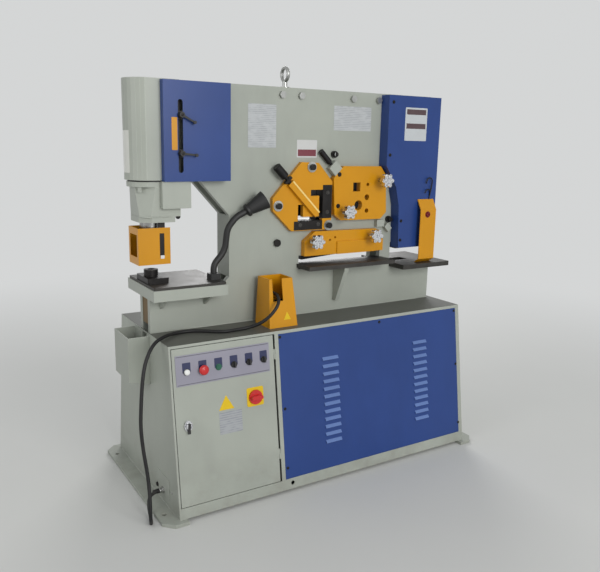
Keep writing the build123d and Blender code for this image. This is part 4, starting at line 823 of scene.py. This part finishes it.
# %% [markdown]
# ## Screws
#
# Covers, panels, stations and blades are held by cap screws. Each is a washer, a low round head with a
# softened rim and a hexagonal pocket for the key, and the same rings serve every size.

# %% Screws
def cap_screw(head, deep):
    """Rings of a socket head: washer, rim, top and the hexagonal pocket."""
    r = head / 2
    return [
        ring(r * 1.45, 0), ring(r * 1.45, 0.0014), ring(r * 1.02, 0.0016), ring(r, deep - 0.0008),
        ring(r - 0.0008, deep), ring(r * 0.58, deep, sides=6), ring(r * 0.52, deep * 0.45, sides=6),
    ]


cover_screws = [facing_front(x, y, z) for x, y, z in (
    (-480, cover_edge_face, 1857), (-480, cover_edge_face, 1685), (-480, cover_edge_face, 1513),
    (458, cover_face, 1858), (449, cover_face, 1590), (546, cover_face, 1242), (546, cover_face, 1138))]
panel_screws = [seat(on_front(x, drop), slope) for x, drop in (
    (-300, 30), (-292, 376), (-294, 665), (292, 30), (815, 30), (817, 330), (823, 665))]
stacked("cover_screws", cap_screw(0.012, 0.005), black_oxide, cover_screws)
stacked("panel_screws", cap_screw(0.010, 0.0035), black_oxide, panel_screws)
frame_screws = [facing_front(-703, frame_face, 1309), facing_front(151, station_face, 1332),
                facing_front(154, station_face, 1491)]
stacked("frame_screws", cap_screw(0.016, 0.007), black_oxide, frame_screws)
for which, height in (("high", 1751), ("low", 1589)):
    stacked(f"{which}_lever_screw", cap_screw(0.009, 0.003), black_oxide,
            [facing_front(slot_line, lever_face, height)], f"lever_{which}")
print("screws:", len(cover_screws) + len(panel_screws) + len(frame_screws) + 2)

# %% [markdown]
# ## Screws at the cord's entry and on the blades
#
# Two screws sit low on the left end wall beside the cord's gland. They face along the machine, so their x
# axis is given as well. The fixed blades are held by four flat screws, which are let into them almost to
# the top.

# %% Entry and blade screws
end_wall = -0.850
for name, head, deep, finish, y, z in (
        ("entry_screw_large", 0.020, 0.009, black_oxide, -0.161, 0.070),
        ("entry_screw_small", 0.009, 0.004, zinc, -0.334, 0.105)):
    stacked(name, cap_screw(head, deep), finish, [seat((end_wall, y, z), (-1, 0, 0), (0, 1, 0))])
blade_screws = [facing_front(x, blade_face, z) for x, z in ((-70, 1243), (36, 1244), (90, 1401), (90, 1303))]
stacked("blade_screws", cap_screw(0.014, 0.002), rolled_plate, blade_screws)
print("entry screws: 2, blade screws:", len(blade_screws))

# %% [markdown]
# ## Strain reliefs
#
# A cable that is bent where it enters a housing breaks there first. A rubber sleeve over its last few
# centimetres makes it stiffer towards the housing: it is thick and ribbed at the wall, and thins down to
# the cable itself.

# %% Sleeves
def sleeve(root, tip, length, ribs):
    """Rings of a ribbed sleeve that tapers from its root to its tip."""
    rings = [ring(root, 0)]
    step = length / ribs
    for rib in range(ribs):
        radius = root + (tip - root) * (rib + 0.5) / ribs
        start = rib * step
        rings += [ring(radius, start + step * 0.06), ring(radius, start + step * 0.58),
                  ring(radius * 0.88, start + step * 0.66), ring(radius * 0.88, start + step * 0.94)]
    rings.append(ring(tip, length))
    return rings


pedal_exit = seat(cord_route[0], (0, -1, 0))
gland_exit = seat(cord_route[-1], (-1, 0, 0), (0, 1, 0))
for name, length, place in (("pedal_sleeve", 0.032, pedal_exit), ("gland_sleeve", 0.028, gland_exit)):
    stacked(name, sleeve(0.0118, 0.0092, length, 5), sheath, [place])
print("sleeves:", 2)

# %% [markdown]
# ## Weld beads
#
# The frame, the tables and the feet are welded, and under the paint each seam shows as a low, rippled bead.
# A bead is a row of rings along the seam. Their size swells and shrinks every few millimetres, as the arc
# was moved.

# %% Welds
def weld(name, start, end, size, finish=body_enamel):
    """A rippled bead along a straight seam, in millimetres."""
    start, end = Vector(start) / 1000, Vector(end) / 1000
    length = (end - start).length
    count = max(4, round(length / 0.0035))
    rings = []
    for step in range(count + 1):
        closing = min(1.0, 4 * min(step, count - step) / count + 0.35)
        swell = 1 + 0.13 * math.sin(step * 2.1) + 0.06 * math.sin(step * 0.73)
        rings.append(ring(size / 1000 * swell * closing, length * step / count, count=10))
    side = (0, 1, 0) if abs((end - start).normalized().x) > 0.9 else (1, 0, 0)
    return stacked(name, rings, finish, [seat(start, end - start, side)])


weld("head_weld_front", (-878, -118, 1313), (-740, -118, 1313), 3.5, sheet_enamel)
for side, wall in (("left", -851), ("right", 851)):
    weld(f"foot_weld_{side}", (wall, -412, 17), (wall, 412, 17), 4)
weld("frame_weld_front", (-690, -93, 781), (740, -93, 781), 4.5)
print("welds: 4")

# %% [markdown]
# ## The bar's painted highlight
#
# The angle hold-down is an amber bar. A pale strip along its front edge, its whole length, is a painted
# highlight. It is a thin strip here because the bar's own faces are too large to show it.

# %% Painted highlight edge
bar_front = -0.1393
edge_height = 0.0135
highlight_edge_place = hold_down_centre + Vector((1, 0, 1)).normalized() * edge_height
highlight_edge_place.y = bar_front
sheet_plate("painted_highlight_edge", rounded_outline(0.220, 0.008, 0.002), 0.0006, highlight_amber,
            seat(highlight_edge_place, (0, -1, 0), hold_down_axis), "angle_clamp")
print("rubbed edge done")

# %% [markdown]
# ## Hooks over the notching station
#
# Two bent wire hooks hold the notching station's small tools. Each is one curve with a round section, as
# the wire was bent, and its lower end sits on the end cover. The guard under them is held by one large red
# bolt.

# %% Wire hooks and guard bolt
def wire(name, points, thickness, finish):
    """A round wire bent along points on the end cover, in millimetres."""
    shape = bpy.data.curves.new(name, "CURVE")
    shape.dimensions = "3D"
    line = shape.splines.new("NURBS")
    line.points.add(len(points) - 1)
    for point, place in zip(line.points, points):
        point.co = (*(c / 1000 for c in place), 1)
    line.order_u = 3
    line.use_endpoint_u = True
    shape.bevel_depth = thickness / 2000
    shape.bevel_resolution = 4
    shape.use_fill_caps = True
    shape.materials.append(finish.material)
    made = bpy.data.objects.new(name, shape)
    scene.collection.objects.link(made)
    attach(made, "machine")


hook_wire = 6
guard_face = -190
wire("long_hook", [(704, -168, 1440), (703, -170, 1462), (722, -171, 1474), (744, -170, 1462),
                   (744, -166, 1420), (738, -160, 1375), (733, -160, 1352), (731, -159, 1340)],
     hook_wire, black_oxide)
wire("short_hook", [(700, -168, 1388), (702, -170, 1404), (718, -171, 1412), (734, -168, 1402),
                    (736, -163, 1384), (736, -159, 1370)], hook_wire, black_oxide)
stacked("guard_bolt", cap_screw(0.024, 0.009), dull_red, [facing_front(705, guard_face, 1274)])
print("hooks: 2, bolts: 1")

# %% [markdown]
# ## The pedal's plate
#
# The pedal's hood has a blank triangular plate on its sloping front. It is the same sort of plate as the
# one on the door, only half as large.

# %% Pedal plate
pedal_slope = Vector((0, -1, 0.152))
small_triangle = [Vector((-0.019, -0.018, 0)), Vector((0.019, -0.018, 0)), Vector((0, 0.020, 0))]
sheet_plate("pedal_triangle", small_triangle, 0.0006, lemon_enamel,
            seat((-0.226, -0.2672, 0.832), pedal_slope))
print("pedal plate done")

# %% [markdown]
# ## The cylinder casing
#
# The casing over the punch cylinder is sheet folded into narrow flats, one every 11.25 degrees. A blank
# sticker follows three of the flats on the left, and a small clip under the lower edge holds the casing to
# its collar. A dark rubber gasket closes the gap between the two.

# %% Casing pieces
fold_step = 11.25
casing_radius = 0.105
punch_axis = Vector((-0.813, -0.027, 0))
left_front = Vector((-1, -1, 0)).normalized()


def wrapped_sticker(name, folds, low, high, finish):
    """A sticker that follows the casing's flats from fold to fold, given in degrees from the front."""
    inner, outer = casing_radius - 0.0002, casing_radius + 0.0006
    shape = bmesh.new()
    edges = []
    for fold in folds:
        out = Vector((-math.sin(math.radians(fold)), -math.cos(math.radians(fold)), 0))
        edges.append([shape.verts.new(punch_axis + out * reach + Vector((0, 0, z)))
                      for reach, z in ((inner, low), (outer, low), (outer, high), (inner, high))])
    for one, other in zip(edges, edges[1:]):
        for i in range(4):
            j = (i + 1) % 4
            shape.faces.new((one[i], one[j], other[j], other[i]))
    shape.faces.new(edges[0])
    shape.faces.new(list(reversed(edges[-1])))
    return piece(name, shape, finish, smooth=False)


sticker_folds = [fold_step * k for k in range(6, 10)]
wrapped_sticker("casing_sticker", sticker_folds, 1.503, 1.683, bare_label)
collar_radius, clip_height = 0.0885, 1.437
clip_place = punch_axis + left_front * collar_radius + Vector((0, 0, clip_height))
sheet_plate("casing_clip", rounded_outline(0.018, 0.034, 0.003), 0.003, sheet_enamel,
            seat(clip_place, left_front, (1, -1, 0)))
collar_top, gasket_thickness = 1.4651, 0.0068
gasket_radius, gasket_end, gasket_half = 0.092, 0.113, 0.091
gasket = [Vector((gasket_end, gasket_half, 0))]
for angle in range(180, -1, -15):
    away = math.radians(angle)
    gasket.append(Vector((-gasket_radius * math.sin(away), -gasket_radius * math.cos(away), 0)))
gasket.append(Vector((gasket_end, -gasket_half, 0)))
sheet_plate("casing_gasket", gasket, gasket_thickness, matt_black,
            Matrix.Translation(punch_axis + Vector((0, 0, collar_top))))
print("casing pieces: 3")

# %% [markdown]
# ## Floor and backdrop
#
# What the camera and mirror-like metal see of the room is set apart from what lights the object, so that
# the background can be pale while the light stays at a plain level. The floor fades into the backdrop's
# grey a few metres out, so that no horizon cuts the picture, and near the machine it is a plain painted
# floor that takes its shadow.

# %% Floor
backdrop_grey = (0.66, 0.67, 0.67, 1)


def seen_directly(tree):
    """Socket that is 1 where the camera or a mirror looks, and 0 for light on the object."""
    rays = tree.nodes.new("ShaderNodeLightPath")
    either = tree.nodes.new("ShaderNodeMath")
    either.operation = "MAXIMUM"
    tree.links.new(rays.outputs["Is Camera Ray"], either.inputs[0])
    tree.links.new(rays.outputs["Is Glossy Ray"], either.inputs[1])
    through = tree.nodes.new("ShaderNodeMath")
    through.operation = "MAXIMUM"
    tree.links.new(either.outputs[0], through.inputs[0])
    tree.links.new(rays.outputs["Is Transmission Ray"], through.inputs[1])
    return through.outputs[0]


def ground(name, colour, near, far):
    """Floor paint that gives way to the backdrop's grey between two distances from the origin."""
    finish = Finish(name, Roughness=0.7, Specular_IOR_Level=0.2)
    deep = tuple(c * 0.95 for c in colour[:3]) + (1.0,)
    finish.feed(Base_Color=finish.mixed(finish.noise(1.2, 4.0, 0.55), colour, deep))
    flat = finish.node("VectorMath", {"operation": "MULTIPLY"}, {0: finish.place, 1: (1, 1, 0)})
    away = finish.node("VectorMath", {"operation": "LENGTH"}, {0: flat}, output="Value")
    fade = ((away - near) / (far - near)).limited()
    fade = fade * fade * (3 - fade * 2) * Signal(finish, seen_directly(finish.tree))
    glow = finish.node("Emission", {}, {"Color": backdrop_grey, "Strength": 1.0})
    blend = finish.node("MixShader", {}, {0: fade, 1: Signal(finish, finish.shader.outputs[0]), 2: glow})
    surface = finish.tree.nodes["Material Output"].inputs["Surface"]
    finish.tree.links.new(blend.socket, surface)
    return finish


floor_paint = ground("pale_floor", shade(206, 206, 202), 1.6, 5.5)
floor_half = 24
shape = bmesh.new()
corners = [shape.verts.new((x * floor_half, y * floor_half, 0))
           for x, y in ((-1, -1), (1, -1), (1, 1), (-1, 1))]
shape.faces.new(corners)
floor_mesh = bpy.data.meshes.new("floor")
shape.to_mesh(floor_mesh)
shape.free()
floor_mesh.materials.append(floor_paint.material)
floor = bpy.data.objects.new("floor", floor_mesh)
scene.collection.objects.link(floor)
print("floor done")

# %% [markdown]
# ## The lamps
#
# One large soft lamp stands in front of the machine and gives it its form. It is kept off the side where
# the front faces would mirror it into the camera, because a glare there would wash out every colour. A weak
# lamp opens up the left end, and one behind draws the top edges.

# %% Light
def softbox(name, place, target, size, power):
    """A square area light that looks at a target."""
    light = bpy.data.lights.new(name, "AREA")
    light.shape = "SQUARE"
    light.size = size
    light.energy = power
    made = bpy.data.objects.new(name, light)
    made.location = place
    made.rotation_euler = (Vector(target) - Vector(place)).to_track_quat("-Z", "Y").to_euler()
    scene.collection.objects.link(made)


softbox("front_light", (0.0, -6.6, 3.0), (0, 0, 1.0), 3.0, 245)
softbox("left_light", (-4.8, -0.6, 2.6), (-0.6, 0, 1.2), 2.4, 40)
softbox("back_light", (2.4, 4.2, 3.2), (0.2, 0, 1.2), 2.6, 120)
print("lamps: 3")

# %% [markdown]
# ## The world
#
# The world gives a weak, slightly cool light from all sides, so that no shadow goes black. Where the camera
# or a mirror looks at it, it is the backdrop's grey instead. The Standard view keeps each colour about as
# it is written.

# %% World
world = bpy.data.worlds.new("studio")
scene.world = world
world.use_nodes = True
tree = world.node_tree
tree.nodes.clear()
output = tree.nodes.new("ShaderNodeOutputWorld")
chosen = tree.nodes.new("ShaderNodeMixShader")
lit = tree.nodes.new("ShaderNodeBackground")
seen = tree.nodes.new("ShaderNodeBackground")
lit.inputs["Color"].default_value = (0.93, 0.96, 1.0, 1)
lit.inputs["Strength"].default_value = 0.5
seen.inputs["Color"].default_value = backdrop_grey
seen.inputs["Strength"].default_value = 1.0
tree.links.new(seen_directly(tree), chosen.inputs[0])
tree.links.new(lit.outputs[0], chosen.inputs[1])
tree.links.new(seen.outputs[0], chosen.inputs[2])
tree.links.new(chosen.outputs[0], output.inputs["Surface"])
scene.view_settings.view_transform = "Standard"
print("view:", scene.view_settings.view_transform)
